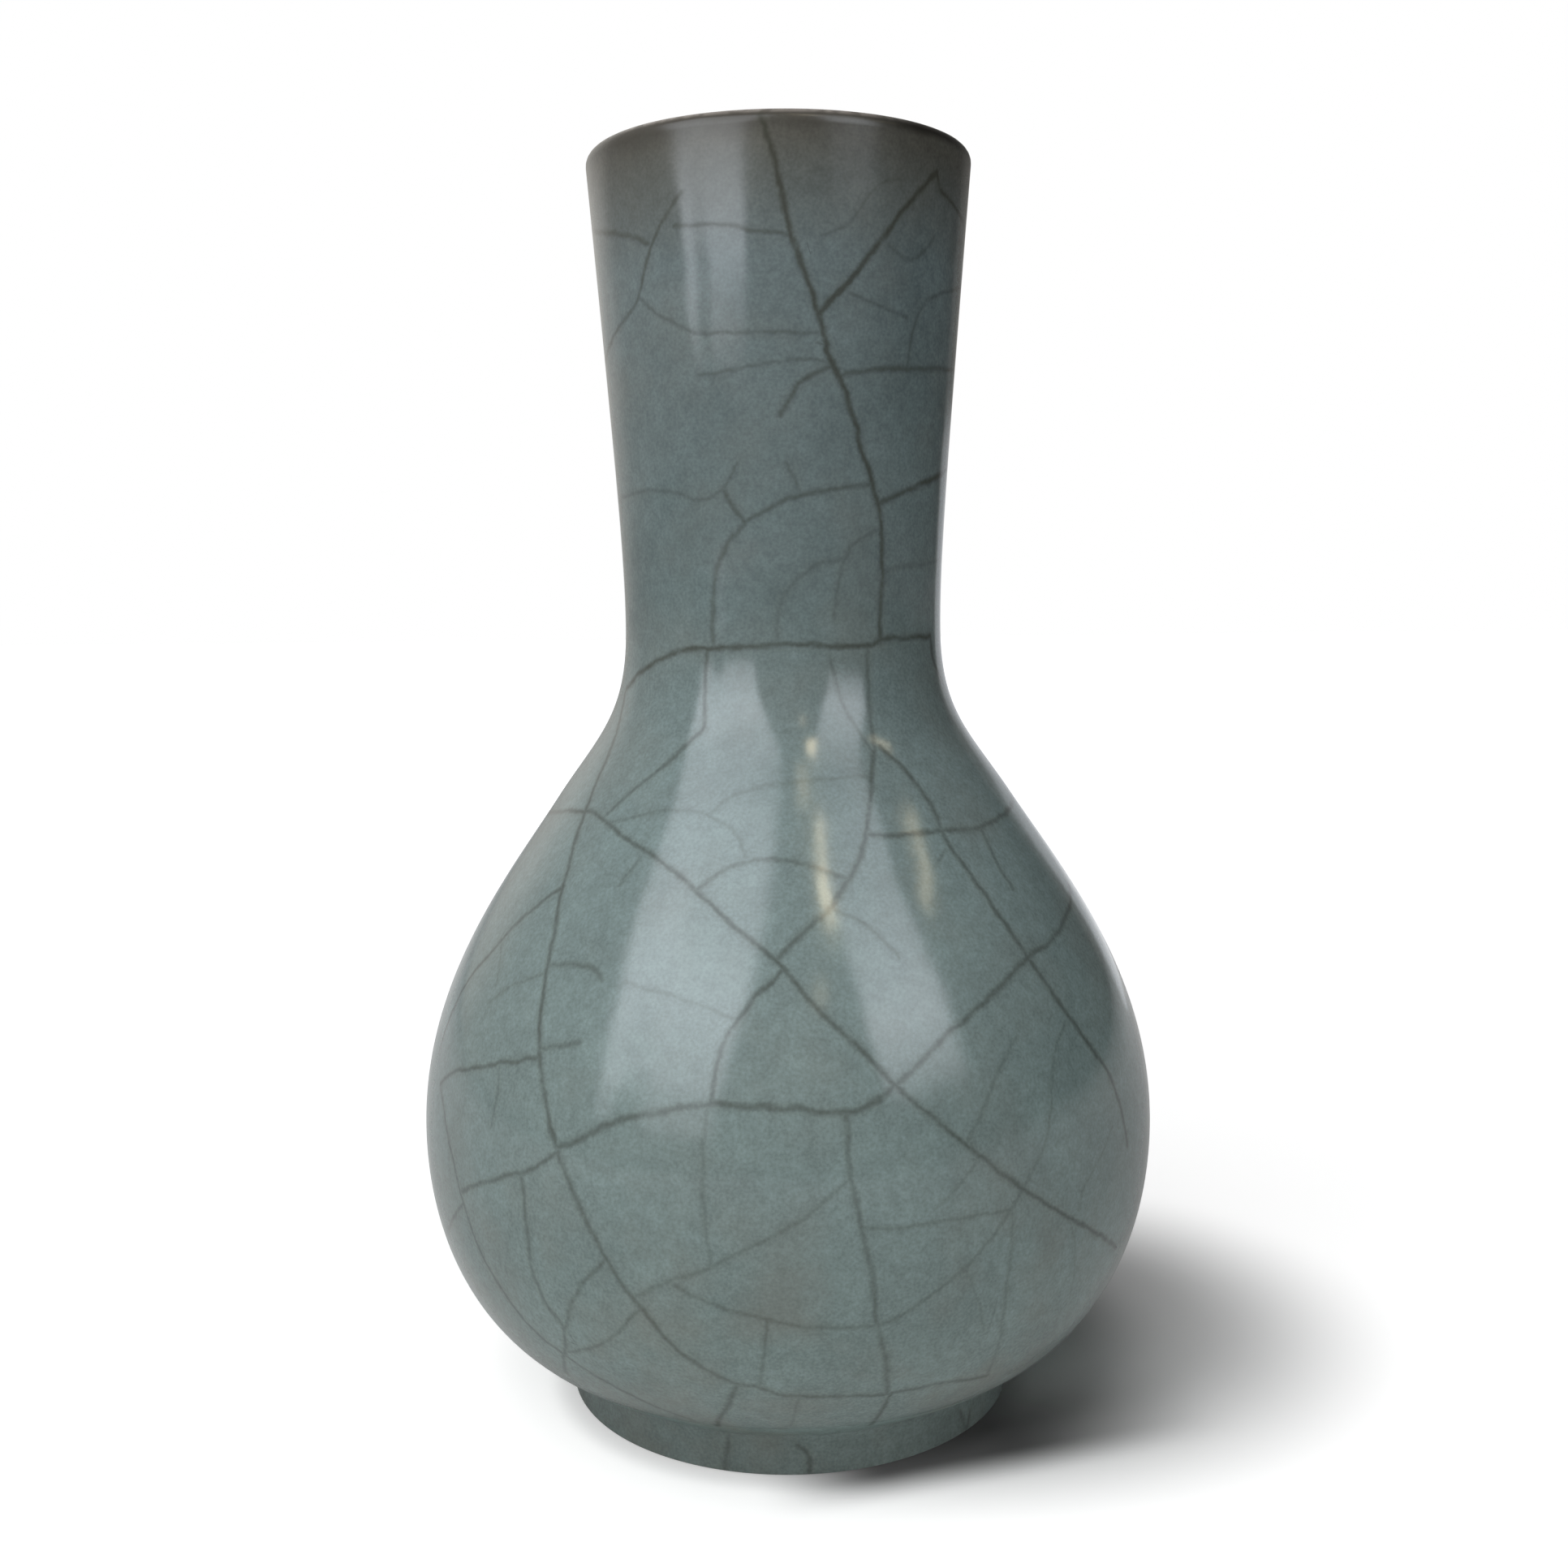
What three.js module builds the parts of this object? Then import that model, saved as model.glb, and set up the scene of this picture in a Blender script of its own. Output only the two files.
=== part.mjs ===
import * as THREE from 'three';

// A crackle-glazed stoneware bottle vase, thrown in sections that are luted together with slip.
// Millimetres, +Z up, standing on Z = 0 with its axis on Z.

// Driving dimensions of the outside
const HEIGHT = 250;
const LIP_RADIUS = 37.7;
const WAIST_RADIUS = 31.9;
const WAIST_HEIGHT = 159;
const SHOULDER_RADIUS = 46.5;
const SHOULDER_HEIGHT = 124;
const BELLY_RADIUS = 74.7;
const BELLY_HEIGHT = 58;
const FOOT_RADIUS = 46;
const FOOT_HEIGHT = 9.4;
const FOOT_COVE = 4;

// Driving angles: of the lip's flare and the shoulder from upright, and of the belly's underside from level
const LIP_FLARE = THREE.MathUtils.degToRad(4.5);
const SHOULDER_LEAN = THREE.MathUtils.degToRad(33.8);
const UNDERSIDE_RISE = THREE.MathUtils.degToRad(24.8);

// How far each curve holds its end direction, as a share of that curve's height
const UNDERSIDE_HOLD = 0.58;
const BELLY_HOLD_BELOW = 0.13;
const BELLY_HOLD_ABOVE = 0.44;
const SHOULDER_HOLD_BELOW = 0.28;
const SHOULDER_HOLD_ABOVE = 0.44;
const WAIST_HOLD_BELOW = 0.52;
const WAIST_HOLD_ABOVE = 0.15;
const LIP_HOLD = 0.67;

// Driving thicknesses and joints
const GLAZE = 0.9;
const WALL = 4.5;
const LIP_WALL = 2.6;
const BASE_THICKNESS = 5;
const FOOT_WALL = 7.2;
const FOOT_CHAMFER = 0.8;
const BASE_UNDERSIDE = 7.4;
const GLAZE_LINE = 0.5;
const BASE_GLAZE_LINE = 3;
const SLIP = 0.8;
const JOINT_BEVEL = 1.6;
const FIT_GAP = 0.1;

// Facets round the axis, and steps along each stretch of the outline
const FACETS = 40;
const STEPS = { cove: 3, belly: 6, shoulder: 5, sweep: 4, neck: 4, lip: 4, floor: 2 };

// Depths of the layers below the outer glaze surface
const CLAY_DEPTH = GLAZE + FIT_GAP;
const LIP_THICKNESS = LIP_WALL + 2 * CLAY_DEPTH;

const at = (r, z) => new THREE.Vector2(r, z);
const toward = (p, direction, length) => p.clone().addScaledVector(direction, length);
const upright = at(0, 1);

// The lip is a half round whose ends face along the flared wall's own normal.
const lipNormal = at(Math.cos(LIP_FLARE), -Math.sin(LIP_FLARE));
const lipTangent = at(Math.sin(LIP_FLARE), Math.cos(LIP_FLARE));
const lipCentre = at(LIP_RADIUS - LIP_THICKNESS / 2, HEIGHT - LIP_THICKNESS / 2);
const lipEdge = toward(lipCentre, lipNormal, LIP_THICKNESS / 2);

// Places where the outline's curves meet
const waist = at(WAIST_RADIUS, WAIST_HEIGHT);
const shoulder = at(SHOULDER_RADIUS, SHOULDER_HEIGHT);
const shoulderTangent = at(-Math.sin(SHOULDER_LEAN), Math.cos(SHOULDER_LEAN));
const equator = at(BELLY_RADIUS, BELLY_HEIGHT);
const footCorner = at(FOOT_RADIUS, FOOT_HEIGHT);
const undersideTangent = at(Math.cos(UNDERSIDE_RISE), Math.sin(UNDERSIDE_RISE));
const spring = toward(footCorner, undersideTangent, FOOT_COVE);
const coveStart = toward(footCorner, upright, -FOOT_COVE);

// A curve that leaves one place and reaches the next along given directions
function sweepCurve(from, fromDirection, fromHold, to, toDirection, toHold) {
  const rise = to.y - from.y;
  const leave = toward(from, fromDirection, rise * fromHold);
  const reach = toward(to, toDirection, -rise * toHold);
  return new THREE.CubicBezierCurve(from, leave, reach, to);
}

const coveCurve = new THREE.QuadraticBezierCurve(coveStart, footCorner, spring);
const bellyCurve = sweepCurve(spring, undersideTangent, UNDERSIDE_HOLD, equator, upright, BELLY_HOLD_BELOW);
const shoulderCurve = sweepCurve(equator, upright, BELLY_HOLD_ABOVE, shoulder, shoulderTangent, SHOULDER_HOLD_BELOW);
const sweepUpCurve = sweepCurve(shoulder, shoulderTangent, SHOULDER_HOLD_ABOVE, waist, upright, WAIST_HOLD_BELOW);
const neckCurve = sweepCurve(waist, upright, WAIST_HOLD_ABOVE, lipEdge, lipTangent, LIP_HOLD);

// Stations along the outside, each with its outward normal and the clay wall's thickness there
function stationsOn(curve, steps, wallFrom, wallTo) {
  return Array.from({ length: steps }, (_, i) => {
    const t = i / steps;
    const tangent = curve.getTangent(t);
    return {
      point: curve.getPoint(t),
      normal: at(tangent.y, -tangent.x),
      wall: THREE.MathUtils.lerp(wallFrom, wallTo, t),
    };
  });
}

const coveStations = stationsOn(coveCurve, STEPS.cove, WALL, WALL);
const bellyStations = stationsOn(bellyCurve, STEPS.belly, WALL, WALL);
const shoulderStations = stationsOn(shoulderCurve, STEPS.shoulder, WALL, WALL);
const sweepStations = stationsOn(sweepUpCurve, STEPS.sweep, WALL, WALL);
const neckStations = stationsOn(neckCurve, STEPS.neck, WALL, LIP_WALL);
const lipStation = { point: lipEdge, normal: lipNormal, wall: LIP_WALL };
const wallStations = [...bellyStations, ...shoulderStations, ...sweepStations, ...neckStations, lipStation];
const equatorIndex = bellyStations.length;
const waistIndex = equatorIndex + shoulderStations.length + sweepStations.length;

// Lines at a fixed depth below the outer surface, and inside the clay wall
const outerLine = (depth) => wallStations.map((s) => toward(s.point, s.normal, -depth));
const innerLine = (extra) => wallStations.map((s) => toward(s.point, s.normal, -CLAY_DEPTH - s.wall - extra));
const coveLine = (depth) => coveStations.map((s) => toward(s.point, s.normal, -depth));
const clayOutside = outerLine(CLAY_DEPTH);
const clayInside = innerLine(0);

// The inside floor runs level from the axis and turns up into the wall.
const floorHeight = BASE_UNDERSIDE + BASE_THICKNESS;
const turnEnd = clayInside[0];
const turnLength = (turnEnd.y - floorHeight) / Math.sin(UNDERSIDE_RISE);
const turnCorner = toward(turnEnd, undersideTangent, -turnLength);
const turnStart = at(turnCorner.x - turnLength, floorHeight);
const floorCurve = new THREE.QuadraticBezierCurve(turnStart, turnCorner, turnEnd);
const floorStations = stationsOn(floorCurve, STEPS.floor, 0, 0);
const floorLine = (extra) => [
  at(0, floorHeight + extra),
  ...floorStations.map((s) => toward(s.point, s.normal, -extra)),
];

// A half round over the lip, from outside to inside
function lipArc(radius) {
  return Array.from({ length: STEPS.lip - 1 }, (_, i) => {
    const turn = (Math.PI * (i + 1)) / STEPS.lip;
    return toward(lipCentre, lipNormal.clone().rotateAround(at(0, 0), turn), radius);
  });
}

// A place on a line, measured along it from one of its points, up or down
function along(line, index, distance) {
  const next = line[distance < 0 ? index - 1 : index + 1];
  const direction = next.clone().sub(line[index]).normalize();
  return toward(line[index], direction, Math.abs(distance));
}

// Edges of a luted joint: the cut slopes, so its inside edge lies lower than its outside edge.
const cutOutside = (index, distance) => along(clayOutside, index, distance);
const cutInside = (index, distance) => along(clayInside, index, distance - JOINT_BEVEL);
const cutBelow = -SLIP / 2 - FIT_GAP;
const cutAbove = SLIP / 2 + FIT_GAP;

// A body of revolution from an outline that runs up its outside and down its inside
function turned(name, outline, material) {
  const closed = outline[0].x === 0 ? outline : [...outline, outline[0].clone()];
  const geometry = new THREE.LatheGeometry(closed, FACETS);
  geometry.rotateX(Math.PI / 2);
  const mesh = new THREE.Mesh(geometry, material);
  mesh.name = name;
  return mesh;
}

const celadon = () => new THREE.MeshStandardMaterial({ color: 0x7f908c, roughness: 0.2, metalness: 0 });
const stoneware = () => new THREE.MeshStandardMaterial({ color: 0x8d8276, roughness: 0.9, metalness: 0 });
const barePaste = () => new THREE.MeshStandardMaterial({ color: 0x4a3a30, roughness: 0.85, metalness: 0 });
const slipClay = () => new THREE.MeshStandardMaterial({ color: 0x9c9184, roughness: 0.95, metalness: 0 });

// Foot ring, with both edges of its standing face chamfered
const footOutside = FOOT_RADIUS - CLAY_DEPTH;
const footInside = footOutside - FOOT_WALL;
const footTop = BASE_UNDERSIDE - SLIP - 2 * FIT_GAP;
const footRing = turned('foot_ring', [
  at(footInside + FOOT_CHAMFER, 0),
  at(footOutside - FOOT_CHAMFER, 0),
  at(footOutside, FOOT_CHAMFER),
  at(footOutside, footTop),
  at(footInside, footTop),
  at(footInside, FOOT_CHAMFER),
], barePaste());

const footSlip = turned('foot_slip_seam', [
  at(footInside, footTop + FIT_GAP),
  at(footOutside, footTop + FIT_GAP),
  at(footOutside, BASE_UNDERSIDE - FIT_GAP),
  at(footInside, BASE_UNDERSIDE - FIT_GAP),
], slipClay());

// Lower belly, thrown as a bowl with the vase's floor
const coveAboveBase = coveLine(CLAY_DEPTH).filter((p) => p.y > BASE_UNDERSIDE);
const lowerBelly = turned('lower_belly', [
  at(0, BASE_UNDERSIDE),
  at(footOutside, BASE_UNDERSIDE),
  ...coveAboveBase,
  ...clayOutside.slice(0, equatorIndex),
  cutOutside(equatorIndex, cutBelow),
  cutInside(equatorIndex, cutBelow),
  ...clayInside.slice(0, equatorIndex).reverse(),
  ...floorLine(0).reverse(),
], stoneware());

// Upper belly, thrown as a second bowl and set on the first
const upperBelly = turned('upper_belly', [
  cutOutside(equatorIndex, cutAbove),
  ...clayOutside.slice(equatorIndex + 1, waistIndex),
  cutOutside(waistIndex, cutBelow),
  cutInside(waistIndex, cutBelow),
  ...clayInside.slice(equatorIndex, waistIndex).reverse(),
  cutInside(equatorIndex, cutAbove),
], stoneware());

// Neck, thrown as a tube and ended by the lip
const neck = turned('neck', [
  cutOutside(waistIndex, cutAbove),
  ...clayOutside.slice(waistIndex + 1),
  ...lipArc(LIP_WALL / 2),
  ...clayInside.slice(waistIndex).reverse(),
  cutInside(waistIndex, cutAbove),
], stoneware());

// Slip that lutes two sections together, filling the sloping cut between them
function slipRing(name, index) {
  return turned(name, [
    cutInside(index, -SLIP / 2),
    cutOutside(index, -SLIP / 2),
    clayOutside[index],
    cutOutside(index, SLIP / 2),
    cutInside(index, SLIP / 2),
  ], slipClay());
}

const bellySlip = slipRing('belly_slip_seam', equatorIndex);
const neckSlip = slipRing('neck_slip_seam', waistIndex);

// Outer glaze, from just above the standing face up the outside and over the lip
const outerGlaze = turned('outer_glaze', [
  at(FOOT_RADIUS - GLAZE, GLAZE_LINE),
  at(FOOT_RADIUS, GLAZE_LINE),
  ...coveLine(0),
  ...outerLine(0),
  ...lipArc(LIP_THICKNESS / 2),
  innerLine(FIT_GAP + GLAZE).at(-1),
  innerLine(FIT_GAP).at(-1),
  ...lipArc(LIP_THICKNESS / 2 - GLAZE).reverse(),
  ...outerLine(GLAZE).reverse(),
  ...coveLine(GLAZE).reverse(),
], celadon());

// Inner glaze, lining the neck and belly down to the floor
const liningOutside = innerLine(FIT_GAP);
const liningInside = innerLine(FIT_GAP + GLAZE);
const innerGlaze = turned('inner_glaze', [
  ...floorLine(FIT_GAP),
  ...liningOutside.slice(0, -1),
  along(liningOutside, liningOutside.length - 1, -FIT_GAP),
  along(liningInside, liningInside.length - 1, -FIT_GAP),
  ...liningInside.slice(0, -1).reverse(),
  ...floorLine(FIT_GAP + GLAZE).reverse(),
], celadon());

// Base glaze, in the hollow inside the foot ring
const baseGlazeTop = BASE_UNDERSIDE - FIT_GAP;
const baseGlazeOutside = footInside - FIT_GAP;
const baseGlaze = turned('base_glaze', [
  at(0, baseGlazeTop - GLAZE),
  at(baseGlazeOutside - GLAZE, baseGlazeTop - GLAZE),
  at(baseGlazeOutside - GLAZE, BASE_GLAZE_LINE),
  at(baseGlazeOutside, BASE_GLAZE_LINE),
  at(baseGlazeOutside, baseGlazeTop),
  at(0, baseGlazeTop),
], celadon());

const vase = new THREE.Group();
vase.name = 'crackle_vase';
vase.add(footRing, footSlip, lowerBelly, bellySlip, upperBelly, neckSlip, neck);
vase.add(outerGlaze, innerGlaze, baseGlaze);

export default vase;
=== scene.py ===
# %% [markdown]
# A crackle-glazed bottle vase
# The real vase is stoneware, thrown in sections, luted together with slip and dipped in a thick celadon
# glaze. The glaze shrinks more than the clay as it cools, so it cracks all over, and the cracks were
# stained dark. The solids come in first as a fixed frame, and every new piece is made on top of them.

# %% Load the frame
import math

import bpy
import numpy as np
from mathutils import Matrix, Vector
from mathutils.bvhtree import BVHTree
from mathutils.kdtree import KDTree


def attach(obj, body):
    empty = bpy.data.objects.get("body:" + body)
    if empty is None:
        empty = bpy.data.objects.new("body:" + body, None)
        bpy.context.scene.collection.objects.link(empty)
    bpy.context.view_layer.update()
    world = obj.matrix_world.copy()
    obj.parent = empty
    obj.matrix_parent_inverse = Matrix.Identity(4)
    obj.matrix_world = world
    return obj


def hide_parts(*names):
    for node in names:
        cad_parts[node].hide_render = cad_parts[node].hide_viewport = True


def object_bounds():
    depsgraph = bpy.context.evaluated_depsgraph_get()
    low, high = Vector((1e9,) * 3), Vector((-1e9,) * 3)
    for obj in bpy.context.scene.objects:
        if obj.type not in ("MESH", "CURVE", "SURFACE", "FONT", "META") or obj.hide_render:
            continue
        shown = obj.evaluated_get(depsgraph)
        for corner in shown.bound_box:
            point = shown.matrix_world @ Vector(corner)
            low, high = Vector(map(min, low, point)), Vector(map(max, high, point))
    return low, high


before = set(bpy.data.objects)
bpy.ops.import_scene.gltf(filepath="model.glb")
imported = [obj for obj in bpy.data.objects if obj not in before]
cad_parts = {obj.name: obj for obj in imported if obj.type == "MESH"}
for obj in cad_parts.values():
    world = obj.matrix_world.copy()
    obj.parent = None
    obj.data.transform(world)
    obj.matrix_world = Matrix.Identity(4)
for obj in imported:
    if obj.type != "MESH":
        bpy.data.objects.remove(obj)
cad_low, cad_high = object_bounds()
scene = bpy.context.scene
MM = 0.001
print("solids:", sorted(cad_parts), "height in mm:", round((cad_high.z - cad_low.z) / MM, 2))

# %% [markdown]
# Camera
# The photograph was taken from close by, at about two thirds of the vase's height and slightly tilted.
# The camera is set by the same numbers a photographer would give: the lens as a focal length in pixels of
# the square picture, the place of the lens, and three small turns. Its three axes are worked out once,
# because the crack lines further down are also read through this camera.

# %% Camera
PICTURE = 1932
FOCAL_PIXELS = 2055
LENS_BACK = 341.05 * MM
LENS_UP = 169.11 * MM
PITCH = math.radians(7.217)
YAW = math.radians(-0.022)
ROLL = math.radians(-0.587)

lens_at = Vector((0, -LENS_BACK, LENS_UP))
look = Vector((math.sin(YAW) * math.cos(PITCH), math.cos(YAW) * math.cos(PITCH), -math.sin(PITCH)))
level = Vector((math.cos(YAW), -math.sin(YAW), 0))
upward = level.cross(look)
across = math.cos(ROLL) * level + math.sin(ROLL) * upward
above = -math.sin(ROLL) * level + math.cos(ROLL) * upward

camera_data = bpy.data.cameras.new("photo_camera")
camera_data.sensor_width = 36
camera_data.lens = FOCAL_PIXELS * camera_data.sensor_width / PICTURE
camera_data.clip_start = 0.01
camera = bpy.data.objects.new("photo_camera", camera_data)
camera.matrix_world = Matrix.Translation(lens_at) @ Matrix((across, above, -look)).transposed().to_4x4()
scene.collection.objects.link(camera)
scene.camera = camera
scene.view_settings.view_transform = "Standard"
print("lens in mm:", round(camera_data.lens, 2))

# %% [markdown]
# Small helpers
# Colours are written as they look on a screen, in hex, and one function turns them into the linear values
# that shaders use. One more adds a shader node, sets its sockets and links others into them. A node given
# as a value is linked by its first output in use.


# %% Colour and node helpers
def linear(hex_colour):
    values = [int(hex_colour[i:i + 2], 16) / 255 for i in (1, 3, 5)]
    return tuple(v / 12.92 if v <= 0.04045 else ((v + 0.055) / 1.055) ** 2.4 for v in values) + (1.0,)


def add_node(tree, kind, inputs=None, **settings):
    node = tree.nodes.new("ShaderNode" + kind)
    for name, value in settings.items():
        setattr(node, name, value)
    for name, value in (inputs or {}).items():
        if isinstance(value, bpy.types.Node):
            value = next(output for output in value.outputs if output.enabled)
        if isinstance(value, bpy.types.NodeSocket):
            tree.links.new(value, node.inputs[name])
        else:
            node.inputs[name].default_value = value
    return node


def new_material(name):
    material = bpy.data.materials.new(name)
    material.use_nodes = True
    material.node_tree.nodes.clear()
    return material, material.node_tree


print("celadon in linear values:", [round(v, 3) for v in linear("#78877F")])

# %% [markdown]
# Light and floor
# Glossy glaze shows two things at once: its own colour, lit by everything around it, and mirror images of
# the lamps. They are set apart here, as a photographer sets them with flags. Wide soft lights give the
# plain light level and are hidden from reflections. The other lamps are seen only in reflections: two
# soft boxes as the pale upright panels on the belly and the neck, a low box as the left panel's lower
# end, a panel behind the vase along its edges, and four small warm strips as the glints.

# %% Soft lights
VASE_MIDDLE = Vector((0, 0, 0.11))


def soft_light(name, turn, lift, distance, width, tall, power):
    """Rectangular lamp that faces the vase; turn and lift are its direction in degrees from the front."""
    data = bpy.data.lights.new(name, "AREA")
    data.shape = "RECTANGLE"
    data.size = width
    data.size_y = tall
    data.energy = power
    side, high = math.radians(turn), math.radians(lift)
    way = Vector((math.sin(side) * math.cos(high), -math.cos(side) * math.cos(high), math.sin(high)))
    lamp = bpy.data.objects.new(name, data)
    lamp.location = VASE_MIDDLE + distance * way
    lamp.rotation_euler = (-way).to_track_quat("-Z", "Y").to_euler()
    lamp.visible_glossy = False
    scene.collection.objects.link(lamp)
    return lamp


soft_light("left_soft_light", turn=-45, lift=36, distance=1.6, width=1.4, tall=1.4, power=10.2)
soft_light("front_soft_light", turn=-3, lift=31, distance=1.8, width=1.0, tall=1.0, power=6.6)
soft_light("top_soft_light", turn=-35, lift=77, distance=2.0, width=1.4, tall=1.4, power=15)
print("soft lights:", len(bpy.data.lights))


# %% Soft boxes that are only mirrored
NOTCH_AT = 0.33
NOTCH_HALF = 0.1


def soft_box(name, turn, lift, distance, width, tall, radiance, colour, side_fade, levels,
             middle=(0, 0), notch=0):
    """Lamp for reflections, moved in its own plane.

    It fades to both sides, and the levels tell how bright it is from its lower to its upper edge.
    A notch cuts into its lower edge, left of the middle, where something stands in front of the lamp."""
    lamp = soft_light(name, turn, lift, distance, width, tall, radiance * math.pi * width * tall)
    lamp.location += lamp.rotation_euler.to_matrix() @ Vector((*middle, 0))
    lamp.visible_glossy = True
    lamp.visible_diffuse = False
    lamp.data.color = linear(colour)[:3]
    lamp.data.use_nodes = True
    tree = lamp.data.node_tree
    tree.nodes.clear()
    spot = add_node(tree, "NewGeometry")
    along = add_node(tree, "SeparateXYZ", {0: spot.outputs["Parametric"]})
    side = add_node(tree, "Math", {0: along.outputs["X"], 1: 0.5}, operation="PINGPONG")
    fade = add_node(tree, "MapRange", {"Value": side, "From Min": 0.0, "From Max": side_fade},
                    interpolation_type="SMOOTHSTEP")
    beside = add_node(tree, "Math", {0: along.outputs["X"], 1: NOTCH_AT, 2: NOTCH_HALF},
                      operation="COMPARE")
    raised = add_node(tree, "Math", {0: beside, 1: -notch, 2: along.outputs["Y"]},
                      operation="MULTIPLY_ADD")
    upward_levels = add_node(tree, "ValToRGB", {"Fac": raised})
    ramp = upward_levels.color_ramp
    while len(ramp.elements) < len(levels):
        ramp.elements.new(0.5)
    for element, (position, bright) in zip(ramp.elements, levels):
        element.position = position
        element.color = (bright, bright, bright, 1)
    both = add_node(tree, "Math", {0: fade, 1: upward_levels}, operation="MULTIPLY")
    glow = add_node(tree, "Emission", {"Strength": both})
    add_node(tree, "OutputLight", {"Surface": glow})
    print(name, "is", round(width, 2), "by", round(tall, 2), "m")


COOL = "#F0F6FE"
WARM = "#FFF0CC"
soft_box("left_soft_box", turn=-34, lift=48, distance=0.4, width=0.331, tall=0.47, radiance=5.1,
         colour=COOL, side_fade=0.09, middle=(-0.035, -0.095), notch=0.08,
         levels=((0.05, 0.0), (0.15, 0.65), (0.4, 1.0), (0.5, 1.0), (0.7, 0.7), (0.85, 0.7), (1.0, 0.0)))
soft_box("low_left_box", turn=-38, lift=0, distance=0.215, width=0.135, tall=0.065, radiance=2.0,
         colour=COOL, side_fade=0.1, middle=(0.0135, 0.011), notch=0.4,
         levels=((0.0, 0.0), (0.2, 0.85), (0.5, 1.0), (0.75, 0.5), (1.0, 0.0)))
soft_box("right_soft_box", turn=44, lift=30, distance=0.9, width=0.447, tall=0.95, radiance=5.0,
         colour=COOL, side_fade=0.11, middle=(-0.015, 0.175),
         levels=((0.0, 0.0), (0.1, 0.5), (0.3, 1.0), (0.6, 0.7), (1.0, 0.0)))
soft_box("back_panel", turn=180, lift=0, distance=0.5, width=0.56, tall=0.26, radiance=0.55,
         colour=COOL, side_fade=0.03, middle=(-0.125, 0.01),
         levels=((0.0, 0.9), (0.7, 1.0), (0.88, 0.6), (1.0, 0.0)))
STRIP = {"distance": 1.6, "colour": WARM, "levels": ((0.0, 0.0), (0.3, 1.0), (0.7, 1.0), (1.0, 0.0))}
soft_box("front_strip", turn=21.5, lift=54.5, width=0.19, tall=0.26, radiance=13, side_fade=0.4, **STRIP)
soft_box("high_strip", turn=14, lift=63, width=0.2, tall=0.14, radiance=5, side_fade=0.4, **STRIP)
soft_box("low_strip", turn=13, lift=41, width=0.14, tall=0.24, radiance=3, side_fade=0.4, **STRIP)
soft_box("side_strip", turn=75, lift=44, width=0.42, tall=0.09, radiance=6, side_fade=0.3, **STRIP)

# %% [markdown]
# The room
# To the camera the room is plain white. The glaze mirrors a dimmer room, brighter towards the left and
# the front, with a paper backdrop behind the vase that ends on the right.

# %% Room in the mirror
BRIGHT_SIDE = (-0.5, -0.45, 0.55)
BACKDROP_EDGE = math.radians(39)
BACKDROP_SOFT = 0.02
BACKDROP_DIM = 0.2
world = bpy.data.worlds.new("white_room")
scene.world = world
world.use_nodes = True
tree = world.node_tree
tree.nodes.clear()
rays = add_node(tree, "LightPath")
seen = add_node(tree, "Math", {0: rays.outputs["Is Camera Ray"], 1: rays.outputs["Is Transmission Ray"]},
                operation="MAXIMUM")
direction = add_node(tree, "TexCoord")
towards = add_node(tree, "VectorMath", {0: direction.outputs["Generated"], 1: BRIGHT_SIDE},
                   operation="DOT_PRODUCT")
room = add_node(tree, "MapRange", {"Value": towards, "From Min": -0.5, "From Max": 0.6, "To Min": 0.08,
                                   "To Max": 0.8})
parts = add_node(tree, "SeparateXYZ", {0: direction.outputs["Generated"]})
bearing = add_node(tree, "Math", {0: parts.outputs["X"], 1: parts.outputs["Y"]}, operation="ARCTAN2")
left_side = add_node(tree, "MapRange", {"Value": parts.outputs["Z"], "From Min": 0.0, "From Max": 0.2,
                                        "To Min": 0.64, "To Max": 1.0})
rightward = add_node(tree, "MapRange", {"Value": bearing, "From Min": -0.7, "From Max": 0.4})
backdrop = add_node(tree, "Mix", {0: rightward, 2: left_side, 3: BACKDROP_DIM}, data_type="FLOAT")
inside = add_node(tree, "MapRange", {"Value": bearing, "From Min": BACKDROP_EDGE + BACKDROP_SOFT,
                                     "From Max": BACKDROP_EDGE - BACKDROP_SOFT},
                  interpolation_type="SMOOTHSTEP")
behind = add_node(tree, "MapRange", {"Value": parts.outputs["Y"], "From Min": 0.4, "From Max": 0.7},
                  interpolation_type="SMOOTHSTEP")
covered = add_node(tree, "Math", {0: inside, 1: behind}, operation="MULTIPLY")
mirrored = add_node(tree, "Mix", {0: covered, 2: room, 3: backdrop}, data_type="FLOAT")
print("room nodes:", len(tree.nodes))

# %% World
glossy = add_node(tree, "Math", {0: rays.outputs["Is Glossy Ray"], 1: mirrored}, operation="MULTIPLY")
strength = add_node(tree, "Math", {0: seen, 1: glossy}, operation="MAXIMUM")
tint = add_node(tree, "Mix", {0: rays.outputs["Is Glossy Ray"], 6: linear("#FFFFFF"),
                              7: linear("#FFFCF6")}, data_type="RGBA")
sky = add_node(tree, "Background", {"Color": tint, "Strength": strength})
add_node(tree, "OutputWorld", {"Surface": sky})
print("world nodes:", len(tree.nodes))

# %% [markdown]
# White floor
# The vase stands on white paper that the photograph shows burnt out to pure white, apart from a soft
# shadow to the right of the foot. The paper takes the lights as it should, and a glow on top of that
# brings it to white. The glow stays away from the shadow's place, so the shadow keeps its depth, and
# grows far off, where the lights no longer reach. Close to the foot the shadow is deepest on the side
# towards the camera, so a shadow is painted on the paper along that edge, and in a thin ring where the
# foot touches it. Mirrored in the glaze the paper is held lower, and a glow of the paper that only
# diffuse light sees sends some light up to the underside of the belly.

# %% Floor sheet
FLOOR_SIDE = 8
bpy.ops.object.select_all(action="DESELECT")
bpy.ops.mesh.primitive_plane_add(size=FLOOR_SIDE, location=(0, 0, 0))
floor = bpy.context.object
floor.name = "white_floor"
print("floor side in m:", FLOOR_SIDE)

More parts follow.
